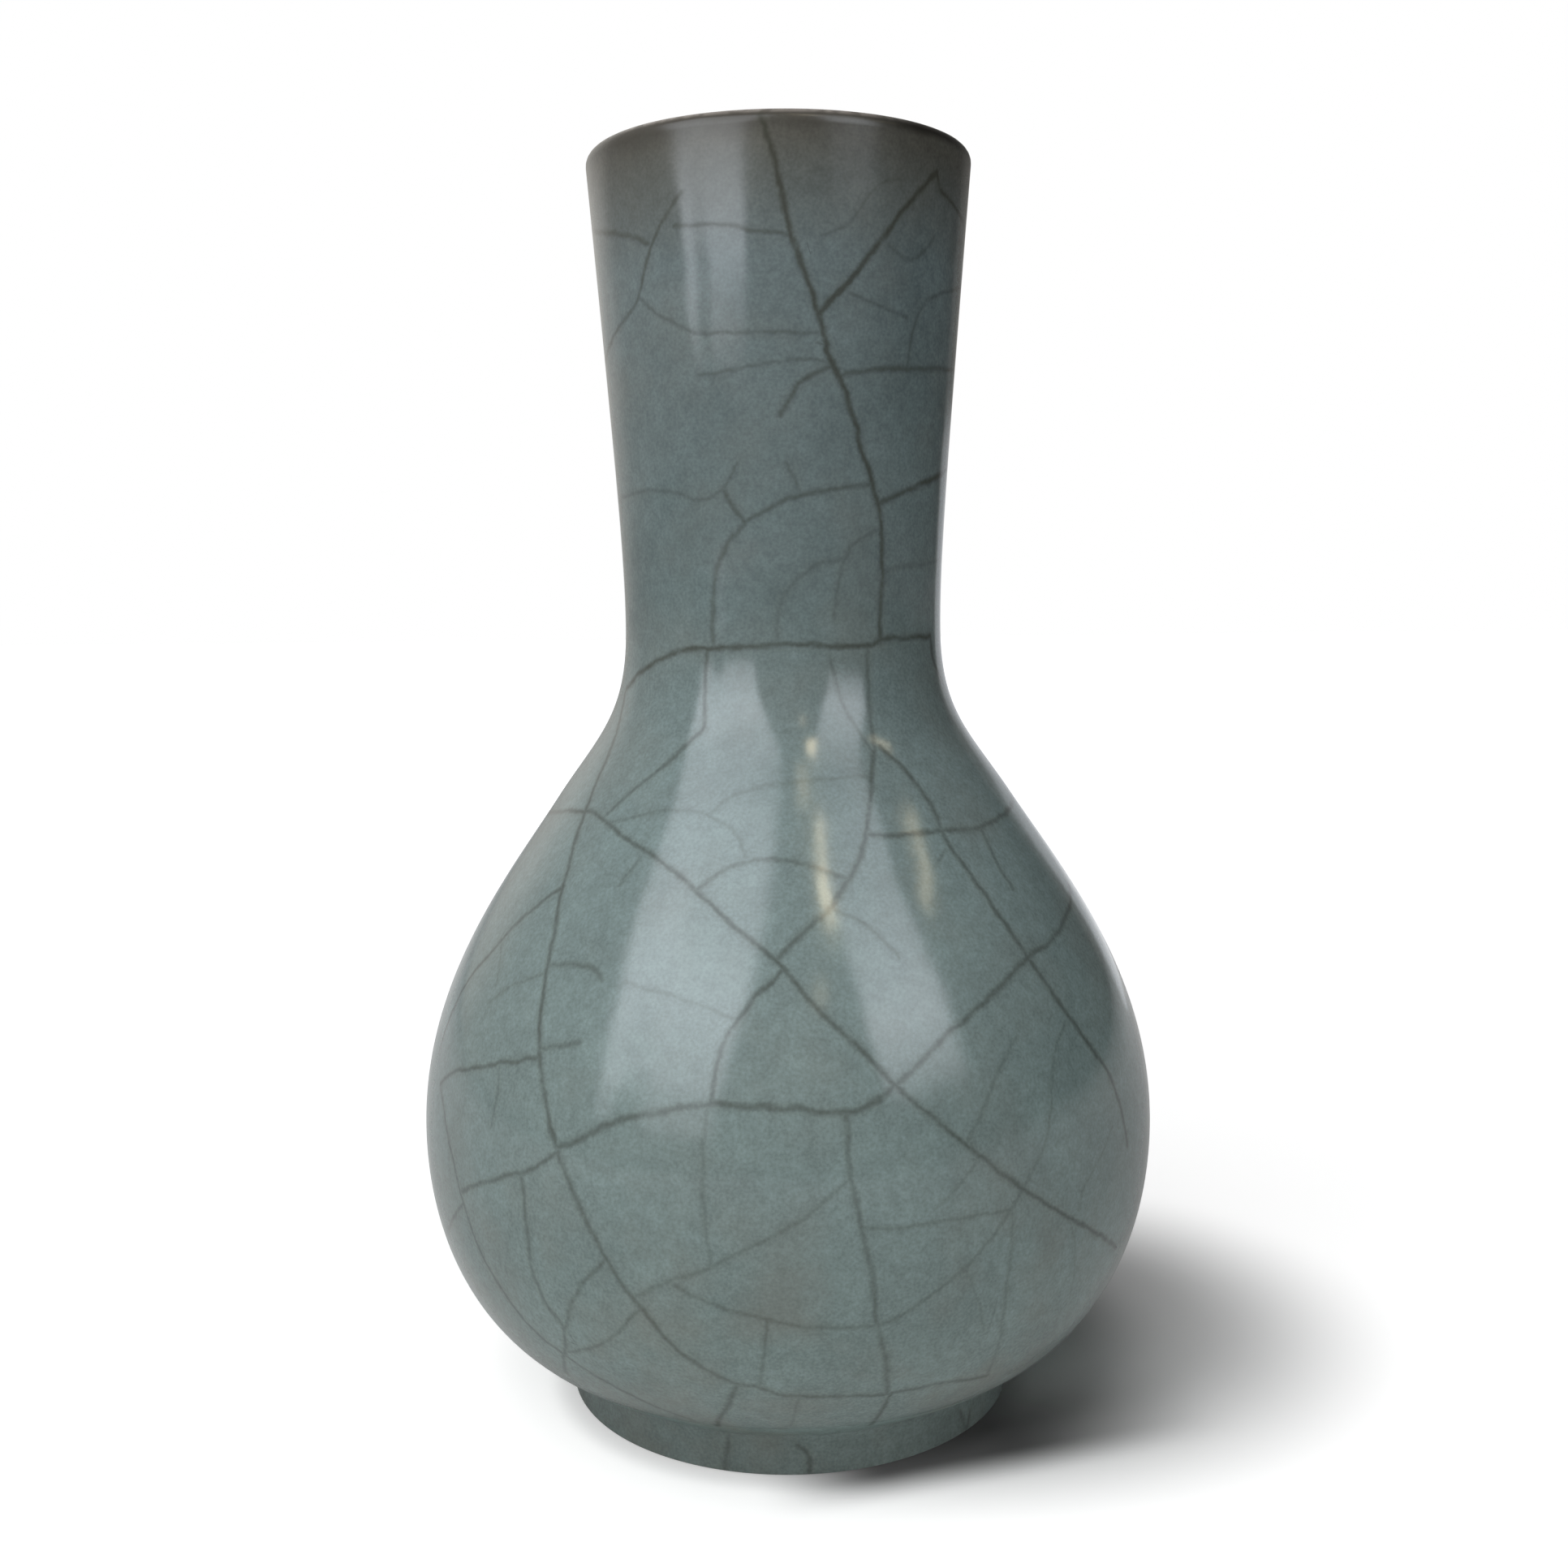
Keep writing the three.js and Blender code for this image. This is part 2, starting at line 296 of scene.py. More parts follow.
# %% Shade on the paper
SHADOW_MIDDLE = (0.052, 0.02, 0)
SHADOW_TURN = math.radians(18)
SHADOW_WAY = (math.cos(SHADOW_TURN), math.sin(SHADOW_TURN), 0)
SHADOW_SIDE = (-SHADOW_WAY[1], SHADOW_WAY[0], 0)
SHADE_DEPTH = 0.89
CONTACT_SHADE = 0.72
material, tree = new_material("matt_white_paper")
rays = add_node(tree, "LightPath")
first = add_node(tree, "Math", {0: rays.outputs["Is Camera Ray"], 1: rays.outputs["Is Transmission Ray"]},
                 operation="MAXIMUM")
ground = add_node(tree, "TexCoord").outputs["Object"]
gap = add_node(tree, "VectorMath", {0: ground, 1: SHADOW_MIDDLE}, operation="DISTANCE")
clear = add_node(tree, "MapRange", {"Value": gap, "From Min": 0.036, "From Max": 0.092, "To Min": 0.0,
                                    "To Max": 0.62}, interpolation_type="SMOOTHSTEP")
far = add_node(tree, "MapRange", {"Value": gap, "From Min": 0.15, "From Max": 0.9, "To Min": 0.0,
                                  "To Max": 0.6}, interpolation_type="SMOOTHSTEP")
whole = add_node(tree, "Math", {0: clear, 1: far}, operation="ADD")
lengthwise = add_node(tree, "VectorMath", {0: ground, 1: SHADOW_WAY}, operation="DOT_PRODUCT")
crosswise = add_node(tree, "VectorMath", {0: ground, 1: SHADOW_SIDE}, operation="DOT_PRODUCT")
shade = rays.outputs["Is Camera Ray"]
for way, edge, full in ((crosswise, -0.059, -0.047), (crosswise, -0.012, -0.04),
                        (lengthwise, 0.08, 0.028), (lengthwise, -0.024, 0.004)):
    fade = add_node(tree, "MapRange", {"Value": way, "From Min": edge, "From Max": full},
                    interpolation_type="SMOOTHSTEP")
    shade = add_node(tree, "Math", {0: shade, 1: fade}, operation="MULTIPLY")
lit = add_node(tree, "Math", {0: shade, 1: -SHADE_DEPTH, 2: 1.0}, operation="MULTIPLY_ADD")
outwards = add_node(tree, "VectorMath", {0: ground}, operation="LENGTH")
contact = add_node(tree, "MapRange", {"Value": outwards, "From Min": 0.046, "From Max": 0.0525,
                                      "To Min": CONTACT_SHADE}, interpolation_type="SMOOTHSTEP")
bright = add_node(tree, "Math", {0: lit, 1: contact}, operation="MULTIPLY")
print("shade nodes:", len(tree.nodes))

# %% Paper and its glow
UPLIGHT = 0.235
white = add_node(tree, "VectorMath", {0: linear("#F2F2F2")[:3], "Scale": bright}, operation="SCALE")
seen = add_node(tree, "Math", {0: first, 1: bright}, operation="MULTIPLY")
shown = add_node(tree, "Math", {0: seen, 1: whole}, operation="MULTIPLY")
away = add_node(tree, "MapRange", {"Value": gap, "From Min": 0.1, "From Max": 0.6, "To Min": 0.0,
                                   "To Max": 0.3})
held = add_node(tree, "Math", {0: rays.outputs["Is Glossy Ray"], 1: away, 2: shown},
                operation="MULTIPLY_ADD")
lift = add_node(tree, "Math", {0: rays.outputs["Is Diffuse Ray"], 1: UPLIGHT, 2: held},
                operation="MULTIPLY_ADD")
paper = add_node(tree, "BsdfDiffuse", {"Color": white})
glow = add_node(tree, "Emission", {"Color": linear("#FFFFFF"), "Strength": lift})
both = add_node(tree, "AddShader", {0: paper, 1: glow})
add_node(tree, "OutputMaterial", {"Surface": both})
floor.data.materials.append(material)
print("paper nodes:", len(tree.nodes))

# %% [markdown]
# Outline of the vase
# The outline is drawn from the same few sizes as the solids: foot, belly, shoulder, waist and lip, joined
# by smooth curves that leave and reach each place along a set direction. Here it is sampled much more
# finely, because a glossy glaze shows every facet in its reflections.

# %% Outline
height = cad_high.z - cad_low.z
belly_radius = (cad_high.x - cad_low.x) / 2
LIP_RADIUS = 37.7 * MM
WAIST = np.array((31.9, 159)) * MM
SHOULDER = np.array((46.5, 124)) * MM
BELLY = np.array((belly_radius, 58 * MM))
FOOT_RADIUS = 46 * MM
FOOT_HEIGHT = 9.4 * MM
FOOT_COVE = 4 * MM
GLAZE = 0.9 * MM
LIP_THICKNESS = 4.6 * MM
LIP_FLARE, SHOULDER_LEAN, UNDERSIDE_RISE = np.radians((4.5, 33.8, 24.8))
UPRIGHT = np.array((0.0, 1.0))
COVE_STEPS = 8
BELLY_STEPS = 46
SHOULDER_STEPS = 26
NECK_STEPS = 56
LIP_STEPS = 13


def sweep(start, leaving, leave_hold, end, reaching, reach_hold, steps):
    """Curve that leaves and reaches its ends along set directions, held for a share of its rise."""
    rise = end[1] - start[1]
    first = start + leaving * rise * leave_hold
    second = end - reaching * rise * reach_hold
    t = np.linspace(0, 1, steps, endpoint=False)[:, None]
    return (1 - t) ** 3 * start + 3 * (1 - t) ** 2 * t * first + 3 * (1 - t) * t * t * second + t ** 3 * end


def fillet(start, corner, end, steps):
    t = np.linspace(0, 1, steps, endpoint=False)[:, None]
    return (1 - t) ** 2 * start + 2 * t * (1 - t) * corner + t * t * end


def arc(centre, radius, from_angle, to_angle, steps):
    a = np.linspace(from_angle, to_angle, steps)
    return centre + radius * np.stack((np.cos(a), np.sin(a)), 1)


lip_centre = np.array((LIP_RADIUS - LIP_THICKNESS / 2, height - LIP_THICKNESS / 2))
lip_normal = np.array((math.cos(LIP_FLARE), -math.sin(LIP_FLARE)))
lip_edge = lip_centre + lip_normal * LIP_THICKNESS / 2
lip_tangent = np.array((math.sin(LIP_FLARE), math.cos(LIP_FLARE)))
shoulder_tangent = np.array((-math.sin(SHOULDER_LEAN), math.cos(SHOULDER_LEAN)))
underside_tangent = np.array((math.cos(UNDERSIDE_RISE), math.sin(UNDERSIDE_RISE)))
foot_corner = np.array((FOOT_RADIUS, FOOT_HEIGHT))
spring = foot_corner + underside_tangent * FOOT_COVE
cove_start = foot_corner - UPRIGHT * FOOT_COVE

wall_line = np.concatenate((
    fillet(cove_start, foot_corner, spring, COVE_STEPS),
    sweep(spring, underside_tangent, 0.58, BELLY, UPRIGHT, 0.13, BELLY_STEPS),
    sweep(BELLY, UPRIGHT, 0.44, SHOULDER, shoulder_tangent, 0.28, BELLY_STEPS),
    sweep(SHOULDER, shoulder_tangent, 0.44, WAIST, UPRIGHT, 0.52, SHOULDER_STEPS),
    sweep(WAIST, UPRIGHT, 0.15, lip_edge, lip_tangent, 0.67, NECK_STEPS),
    [lip_edge - lip_tangent * 0.8 * MM, lip_edge - lip_tangent * 0.3 * MM],
))
lip_line = arc(lip_centre, LIP_THICKNESS / 2, -LIP_FLARE, math.pi - LIP_FLARE, LIP_STEPS)
print("outline points:", len(wall_line) + len(lip_line))

# %% [markdown]
# The outer glaze coat
# A potter's wheel turns an outline into a pot, and Spin does the same. One vertex is extruded along the
# outline, up the outside, over the lip and back down the hidden side of the coat, and the line is spun
# once round. The lower edge is rolled, as thick glaze pulls itself into a bead just above the bare foot.


# %% Outer glaze coat
def turn_piece(name, line, steps, closed):
    """Extrudes a vertex along the outline and spins it into a closed skin."""
    bpy.ops.object.select_all(action="DESELECT")
    bpy.ops.mesh.primitive_plane_add(size=MM, calc_uvs=False, location=(0, 0, 0))
    piece = bpy.context.object
    piece.name = name
    bpy.ops.object.mode_set(mode="EDIT")
    bpy.ops.mesh.select_all(action="SELECT")
    bpy.ops.mesh.merge(type="CENTER")
    bpy.ops.transform.translate(value=(line[0][0], 0, line[0][1]))
    for before, after in zip(line, line[1:]):
        move = (after[0] - before[0], 0, after[1] - before[1])
        bpy.ops.mesh.extrude_region_move(TRANSFORM_OT_translate={"value": move})
    if closed:
        move = (line[0][0] - line[-1][0], 0, line[0][1] - line[-1][1])
        bpy.ops.mesh.extrude_region_move(TRANSFORM_OT_translate={"value": move})
    bpy.ops.mesh.select_all(action="SELECT")
    bpy.ops.mesh.spin(steps=steps, angle=2 * math.pi, center=(0, 0, 0), axis=(0, 0, 1))
    bpy.ops.mesh.select_all(action="SELECT")
    bpy.ops.mesh.remove_doubles(threshold=0.002 * MM)
    bpy.ops.mesh.normals_make_consistent(inside=False)
    bpy.ops.object.mode_set(mode="OBJECT")
    bpy.ops.object.shade_smooth_by_angle(angle=math.radians(50))
    print(name, "faces:", len(piece.data.polygons))
    return piece


GLAZE_LINE = 0.5 * MM
COAT_SPIN = 288
RING_SPIN = 192
HIDDEN_SPIN = 144
bead = GLAZE / 2
bead_line = arc(np.array((FOOT_RADIUS - bead, GLAZE_LINE + bead)), bead, -math.pi / 2, 0, 5)
foot_line = np.linspace((FOOT_RADIUS, GLAZE_LINE + GLAZE), cove_start, 5, endpoint=False)
outside = np.concatenate((bead_line, foot_line, wall_line, lip_line))
hidden_lip = arc(lip_centre, LIP_THICKNESS / 2 - GLAZE, math.pi, 0, 5)
hidden = np.concatenate((lip_line[-1:] + (GLAZE, 0), hidden_lip, wall_line[::-9] - (GLAZE, 0),
                         [(FOOT_RADIUS - GLAZE, GLAZE_LINE)]))
outer_glaze = turn_piece("outer_glaze_coat", np.concatenate((outside, hidden)), COAT_SPIN, True)
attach(outer_glaze, "root")
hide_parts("outer_glaze")

# %% [markdown]
# The inner lining
# A potter pours glaze into the pot, swirls it round and tips it out, which leaves an even coat on the
# floor and the wall. The clay's inner side is the outline moved inwards by the wall, which gets thinner
# towards the lip, and turns into the flat floor in a wide curve. The lining lies on that. Its line starts
# and ends on the axis, so Spin closes it with one point in the middle of the floor.

# %% Inner lining
CLAY_DEPTH = 1.0 * MM
WALL = 4.5 * MM
LIP_WALL = 2.6 * MM
FLOOR_TOP = 12.4 * MM
LINING = 1.0 * MM
FIT_GAP = 0.1 * MM


def shifted(line, depth):
    """The line moved to its left by a depth, which may change along it."""
    along = np.gradient(line, axis=0)
    along /= np.linalg.norm(along, axis=1)[:, None]
    return line + np.stack((-along[:, 1], along[:, 0]), 1) * np.reshape(depth, (-1, 1))


wall_above = np.concatenate((wall_line[COVE_STEPS:], [lip_edge - lip_tangent * FIT_GAP]))
neck_share = np.clip((np.arange(len(wall_above)) + 1 - len(wall_above) + NECK_STEPS) / NECK_STEPS, 0, 1)
clay_wall = shifted(wall_above, CLAY_DEPTH + WALL + (LIP_WALL - WALL) * neck_share)
turn_end = clay_wall[0]
turn_length = (turn_end[1] - FLOOR_TOP) / math.sin(UNDERSIDE_RISE)
turn_corner = turn_end - underside_tangent * turn_length
turn_start = turn_corner - (turn_length, 0)
clay_inside = np.concatenate((np.linspace((0, FLOOR_TOP), turn_start, 6, endpoint=False),
                              fillet(turn_start, turn_corner, turn_end, 8), clay_wall))
lining_back = shifted(clay_inside, FIT_GAP)
lining_line = np.concatenate((shifted(clay_inside, LINING), lining_back[:0:-6], lining_back[:1]))
inner_glaze = turn_piece("inner_glaze_lining", lining_line, HIDDEN_SPIN, False)
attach(inner_glaze, "root")
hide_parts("inner_glaze")

# %% [markdown]
# The foot ring and the base
# The ring is turned from the leather-hard clay, its edges are eased with a sponge, and it is wiped clean,
# because glaze would fuse to the kiln shelf. The base inside it was glazed, and the glaze gathered in the
# corner and ended in a soft bead on the ring's inner side. Both are turned, so both are spun from a line.

# %% Foot ring
RING_INNER = 37.8 * MM
RING_OUTER = 45 * MM
RING_TOP = 6.4 * MM
EASED = 0.8 * MM
ring_line = np.concatenate((
    arc(np.array((RING_INNER + EASED, EASED)), EASED, math.pi, 1.5 * math.pi, 6),
    arc(np.array((RING_OUTER - EASED, EASED)), EASED, -math.pi / 2, 0, 6),
    [(RING_OUTER, RING_TOP), (RING_INNER, RING_TOP)],
))
foot_ring = turn_piece("bare_foot_ring", ring_line, RING_SPIN, True)
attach(foot_ring, "root")
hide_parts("foot_ring")

# %% Base glaze
POOL_EDGE = 37.7 * MM
POOL_UNDER = 6.4 * MM
POOL_CORNER = 1.6 * MM
SKIRT_END = 3.0 * MM
skirt = POOL_EDGE - GLAZE
pool_turn = np.array((skirt, POOL_UNDER))
pool_line = np.concatenate((
    np.linspace((0, POOL_UNDER), pool_turn - (POOL_CORNER, 0), 8, endpoint=False),
    fillet(pool_turn - (POOL_CORNER, 0), pool_turn, pool_turn - (0, POOL_CORNER), 6),
    np.linspace(pool_turn - (0, POOL_CORNER), (skirt, SKIRT_END + bead), 3, endpoint=False),
    arc(np.array((skirt + bead, SKIRT_END + bead)), bead, math.pi, 2 * math.pi, 7),
    [(POOL_EDGE, POOL_UNDER + GLAZE), (0, POOL_UNDER + GLAZE)],
))
base_glaze = turn_piece("base_glaze_pool", pool_line, HIDDEN_SPIN, False)
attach(base_glaze, "root")
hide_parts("base_glaze")

# %% [markdown]
# The crackle lines that the photograph shows
# Each crack was followed on the photograph and noted as a few places along it, in pixels. The main
# cracks are wide and dark; the fine ones came later and took less stain, and the faint ones hardly any.
# The camera above turns each place into a point on the glaze, so the lines lie where the real ones do.
# Some cracks took more or less stain than others of their kind, and these are named in two groups.

# %% Main cracks, as read
MAIN_CRACKS = {
    "neck_long": [(938, 142), (951, 189), (973, 279), (1009, 386), (1023, 439), (1037, 471), (1045, 496),
                  (1061, 550), (1075, 596), (1085, 639), (1087, 705), (1085, 758), (1085, 794)],
    "neck_fork": [(1009, 386), (1060, 330), (1090, 290), (1120, 250), (1153, 212)],
    "neck_arch": [(879, 795), (878, 755), (881, 712), (892, 679), (916, 646), (939, 631), (975, 614),
                  (1015, 604), (1052, 600), (1075, 597)],
    "neck_right_rise": [(1081, 621), (1115, 606), (1161, 583)],
    "waist_ring": [(772, 848), (795, 825), (831, 805), (872, 799), (958, 795), (1068, 795), (1089, 788),
                   (1146, 784)],
    "waist_right_end": [(1146, 784), (1150, 813), (1158, 834)],
    "belly_left_long": [(772, 848), (768, 866), (754, 919), (725, 989), (719, 1006), (702, 1061),
                        (693, 1095), (684, 1144), (674, 1193), (667, 1245), (665, 1297), (671, 1349),
                        (686, 1416)],
    "belly_long_slant": [(677, 1000), (720, 1000), (739, 1006), (806, 1055), (855, 1095), (907, 1144),
                         (956, 1184), (1012, 1248), (1052, 1285), (1103, 1337), (1144, 1373),
                         (1190, 1410), (1260, 1465), (1317, 1500), (1375, 1537)],
    "belly_middle_rise": [(956, 1184), (994, 1144), (1021, 1119), (1046, 1085), (1061, 1049),
                          (1067, 1021), (1073, 975), (1076, 927)],
    "belly_middle_drop": [(962, 1196), (925, 1236), (895, 1281), (880, 1327), (875, 1361)],
    "belly_level": [(686, 1416), (730, 1395), (766, 1379), (806, 1372), (870, 1361), (928, 1364),
                    (977, 1366), (1036, 1372), (1061, 1367), (1089, 1349), (1103, 1337)],
    "belly_right_rise": [(1103, 1337), (1174, 1269), (1226, 1223), (1266, 1179), (1297, 1156),
                         (1317, 1119)],
    "shoulder_right_level": [(1068, 1028), (1121, 1029), (1160, 1022), (1207, 1019), (1248, 989)],
    "belly_right_long": [(1084, 919), (1121, 956), (1150, 997), (1160, 1022), (1174, 1046), (1214, 1104),
                         (1266, 1179), (1318, 1254), (1361, 1315), (1379, 1358), (1389, 1413)],
    "belly_left_arc": [(691, 1095), (647, 1128), (607, 1171), (573, 1214), (552, 1260), (541, 1297)],
    "belly_left_level": [(543, 1336), (558, 1321), (607, 1312), (665, 1301)],
    "low_left_branch": [(688, 1421), (653, 1441), (605, 1454), (569, 1467)],
}
print("main cracks:", len(MAIN_CRACKS))

# %% Fine cracks, as read
FINE_CRACKS = {
    "neck_right_hook": [(1153, 212), (1160, 235), (1185, 270)],
    "neck_left_level": [(734, 286), (776, 291), (798, 302)],
    "neck_upper_level": [(830, 279), (894, 277), (930, 284), (975, 291)],
    "neck_left_slant": [(843, 233), (814, 276), (800, 309), (788, 362), (776, 385), (756, 415)],
    "neck_middle_level": [(788, 365), (803, 382), (843, 405), (866, 410), (930, 409), (1010, 410)],
    "neck_small_arc": [(1026, 450), (992, 466), (972, 490), (960, 511)],
    "neck_left_drop": [(891, 604), (903, 624), (917, 643)],
    "shoulder_right_drop": [(1068, 795), (1070, 850), (1078, 927)],
    "belly_inner_arc": [(860, 1097), (889, 1074), (925, 1060), (962, 1060), (999, 1066), (1044, 1084)],
    "belly_right_drop": [(1208, 1020), (1229, 1064), (1248, 1095)],
    "belly_left_stub": [(666, 1291), (690, 1288), (714, 1284)],
    "belly_left_twig": [(677, 1188), (726, 1191), (742, 1206)],
    "low_left_hook": [(571, 1482), (560, 1500), (552, 1516)],
    "low_left_fan": [(745, 1552), (710, 1593), (697, 1638)],
    "low_left_arc": [(789, 1612), (742, 1656), (698, 1666)],
    "low_drop_left": [(908, 1709), (896, 1732), (883, 1757)],
    "low_drop_middle": [(936, 1708), (943, 1656), (946, 1625)],
    "low_drop_right": [(1098, 1718), (1086, 1738), (1072, 1756)],
    "neck_right_level": [(1033, 464), (1060, 459), (1109, 454), (1173, 457)],
    "low_left_long": [(543, 1336), (548, 1376), (559, 1433), (570, 1478), (589, 1535), (615, 1583),
                      (653, 1634), (691, 1666), (704, 1676), (768, 1714), (851, 1749)],
    "low_left_drop": [(643, 1449), (648, 1497), (656, 1564), (672, 1605), (696, 1641), (698, 1692)],
    "low_ring": [(688, 1421), (710, 1478), (745, 1548), (784, 1605), (819, 1647), (851, 1676),
                 (908, 1706), (934, 1708), (972, 1720), (1024, 1720), (1097, 1717), (1151, 1706),
                 (1215, 1695)],
    "low_middle_slant": [(784, 1599), (819, 1580), (876, 1561), (927, 1535), (960, 1519), (995, 1497),
                         (1043, 1456)],
    "low_smile": [(825, 1580), (860, 1599), (899, 1615), (940, 1623), (960, 1630), (1008, 1636),
                  (1081, 1632), (1110, 1621), (1151, 1593), (1190, 1562), (1215, 1535), (1247, 1488),
                  (1260, 1465)],
    "low_middle_drop": [(1043, 1374), (1046, 1417), (1049, 1456), (1062, 1510), (1073, 1564),
                        (1081, 1631), (1091, 1672), (1094, 1717)],
    "shoulder_left_drop": [(872, 799), (868, 858), (868, 895), (852, 911), (823, 940), (782, 972),
                           (748, 1003)],
    "foot_left": [(897, 1772), (895, 1790), (894, 1810)],
    "foot_middle": [(982, 1780), (995, 1792), (997, 1814)],
}
print("fine cracks:", len(FINE_CRACKS))

# %% Faint cracks, as read
FAINT_CRACKS = {
    "neck_pale_level": [(860, 462), (894, 457), (948, 446), (994, 441), (1021, 445)],
    "neck_pale_curl": [(1012, 290), (1045, 277), (1065, 248), (1085, 226), (1110, 220)],
    "neck_pale_branch": [(1091, 300), (1118, 320), (1140, 308), (1152, 290)],
    "neck_pale_slant": [(1047, 360), (1085, 378), (1118, 392)],
    "belly_left_hair_high": [(769, 1210), (840, 1230), (906, 1256)],
    "belly_right_twig": [(1023, 1118), (1075, 1145), (1110, 1180)],
    "low_middle_hair": [(870, 1362), (866, 1430), (868, 1500), (876, 1561)],
    "belly_left_hair_low": [(616, 1312), (613, 1350), (605, 1390)],
    "low_right_hair": [(1317, 1500), (1325, 1545), (1318, 1600)],
    "belly_left_tick": [(788, 1056), (775, 1075), (762, 1092)],
    "belly_right_spur": [(1170, 1044), (1161, 1054), (1154, 1065)],
    "belly_right_slant": [(1252, 1276), (1234, 1314), (1222, 1341), (1210, 1372), (1193, 1404)],
    "belly_right_hair": [(1329, 1490), (1336, 1463), (1358, 1422), (1370, 1390)],
    "low_right_spur": [(1205, 1432), (1176, 1466), (1152, 1490)],
    "neck_right_arc": [(1118, 452), (1122, 420), (1133, 385), (1150, 365), (1175, 357)],
    "neck_left_wave": [(763, 616), (800, 605), (833, 607), (859, 616), (891, 602), (909, 569)],
    "neck_inner_arc": [(1085, 652), (1052, 669), (1038, 689), (1008, 695), (975, 722), (960, 748),
                       (957, 794)],
    "neck_inner_drop": [(1038, 692), (1032, 729), (1028, 765)],
    "neck_right_short": [(1088, 705), (1118, 697), (1152, 692)],
    "shoulder_middle_drop": [(1020, 797), (1030, 840), (1040, 870), (1076, 927)],
    "belly_upper_arc": [(872, 1005), (905, 980), (954, 966), (1011, 960), (1074, 956)],
    "belly_upper_wave": [(752, 1014), (803, 1001), (834, 998), (872, 1005), (905, 1025), (919, 1056)],
    "belly_left_sprig": [(670, 1200), (632, 1214), (601, 1237)],
    "belly_left_hair": [(618, 1163), (616, 1190), (610, 1216)],
    "belly_right_link": [(1313, 1259), (1301, 1290), (1296, 1330), (1294, 1370), (1289, 1406),
                         (1275, 1438), (1263, 1462)],
    "low_right_end": [(1215, 1695), (1231, 1656), (1238, 1610), (1247, 1488)],
    "low_drop_small": [(985, 1720), (975, 1757)],
    "low_right_level": [(1062, 1512), (1110, 1514), (1160, 1505), (1247, 1490)],
    "low_right_upright": [(1190, 1562), (1205, 1600), (1212, 1640)],
    "neck_short_rise": [(987, 608), (978, 588), (969, 569)],
    "foot_right": [(1183, 1737), (1190, 1760), (1196, 1737)],
}
print("faint cracks:", len(FAINT_CRACKS))

# %% [markdown]
# From pixels to the glaze
# A ray goes from the lens through each pixel to the coat. The place it hits is kept as two numbers that
# suit a turned pot: the angle round the axis from the front, and the length along the outline from the
# foot. A smooth curve through the places of one crack gives its path.

# %% Cast the readings onto the coat
LENGTHS = np.concatenate(([0], np.cumsum(np.linalg.norm(np.diff(outside, axis=0), axis=1))))
wall_top = int(np.argmax(outside[:, 1]))
coat_tree = BVHTree.FromObject(outer_glaze, bpy.context.evaluated_depsgraph_get())


def on_coat(angle, length):
    radius = np.interp(length, LENGTHS, outside[:, 0])
    rise = np.interp(length, LENGTHS, outside[:, 1])
    return np.stack((radius * np.sin(angle), -radius * np.cos(angle), rise), -1)


def cast(pixel):
    """Angle and length of the place on the coat that a pixel of the photograph shows."""
    x, y = pixel
    ray = look + across * ((x - PICTURE / 2) / FOCAL_PIXELS) - above * ((y - PICTURE / 2) / FOCAL_PIXELS)
    hit = coat_tree.ray_cast(lens_at, ray.normalized())[0]
    if hit is None:
        return None
    return math.atan2(hit.x, -hit.y), float(np.interp(hit.z, outside[:wall_top, 1], LENGTHS[:wall_top]))


def smooth(places, spacing=0.4 * MM):
    """Points every fraction of a millimetre on a smooth curve through the places, in angle and length."""
    places = np.array(places)
    ends = np.concatenate((2 * places[:1] - places[1:2], places, 2 * places[-1:] - places[-2:-1]))
    curve = []
    for a, b, c, d in zip(ends, ends[1:], ends[2:], ends[3:]):
        count = max(2, int(np.linalg.norm(on_coat(*c) - on_coat(*b)) / spacing))
        t = np.linspace(0, 1, count, endpoint=False)[:, None]
        curve.append(0.5 * (2 * b + (c - a) * t + (2 * a - 5 * b + 4 * c - d) * t ** 2
                            + (3 * b - a - 3 * c + d) * t ** 3))
    return np.concatenate(curve + [places[-1:]])


print("length along the outline in mm:", round(LENGTHS[-1] / MM, 1))

# %% Cracks of the front
# Cracks that look darker or paler than others of their kind
DEEP_STAIN = 1.3
PALE_STAIN = 0.7
DEEPLY_STAINED = {"neck_long", "neck_fork", "waist_ring", "neck_right_hook", "shoulder_left_drop",
                  "low_drop_left", "low_drop_right", "belly_left_tick", "belly_right_twig", "foot_right"}
PALELY_STAINED = {"neck_arch", "neck_middle_level", "low_left_arc", "low_drop_middle", "low_smile",
                  "low_middle_slant", "neck_pale_curl", "low_right_hair", "low_right_upright"}
cracks = []
for tier, readings in (("main", MAIN_CRACKS), ("fine", FINE_CRACKS), ("faint", FAINT_CRACKS)):
    for name, pixels in readings.items():
        places = [p for p in map(cast, pixels) if p]
        share = DEEP_STAIN if name in DEEPLY_STAINED else PALE_STAIN if name in PALELY_STAINED else 1.0
        if len(places) > 1:
            cracks.append({"tier": tier, "path": smooth(places), "share": share})
print("cracks on the front:", len(cracks), "of", len(MAIN_CRACKS) + len(FINE_CRACKS) + len(FAINT_CRACKS))

# %% [markdown]
# Cracks on the sides and back
# The photograph doesn't show the back, so the cracks go on there by the rule that real ones follow: a
# crack runs on in a gently bending line until it meets an older one, and stops there. Open ends at the
# edge of the picture are carried on first. New main cracks then start in the middle of the widest empty
# places, and fine ones branch off at a steep angle. The seed is fixed, so every run gives the same
# network.

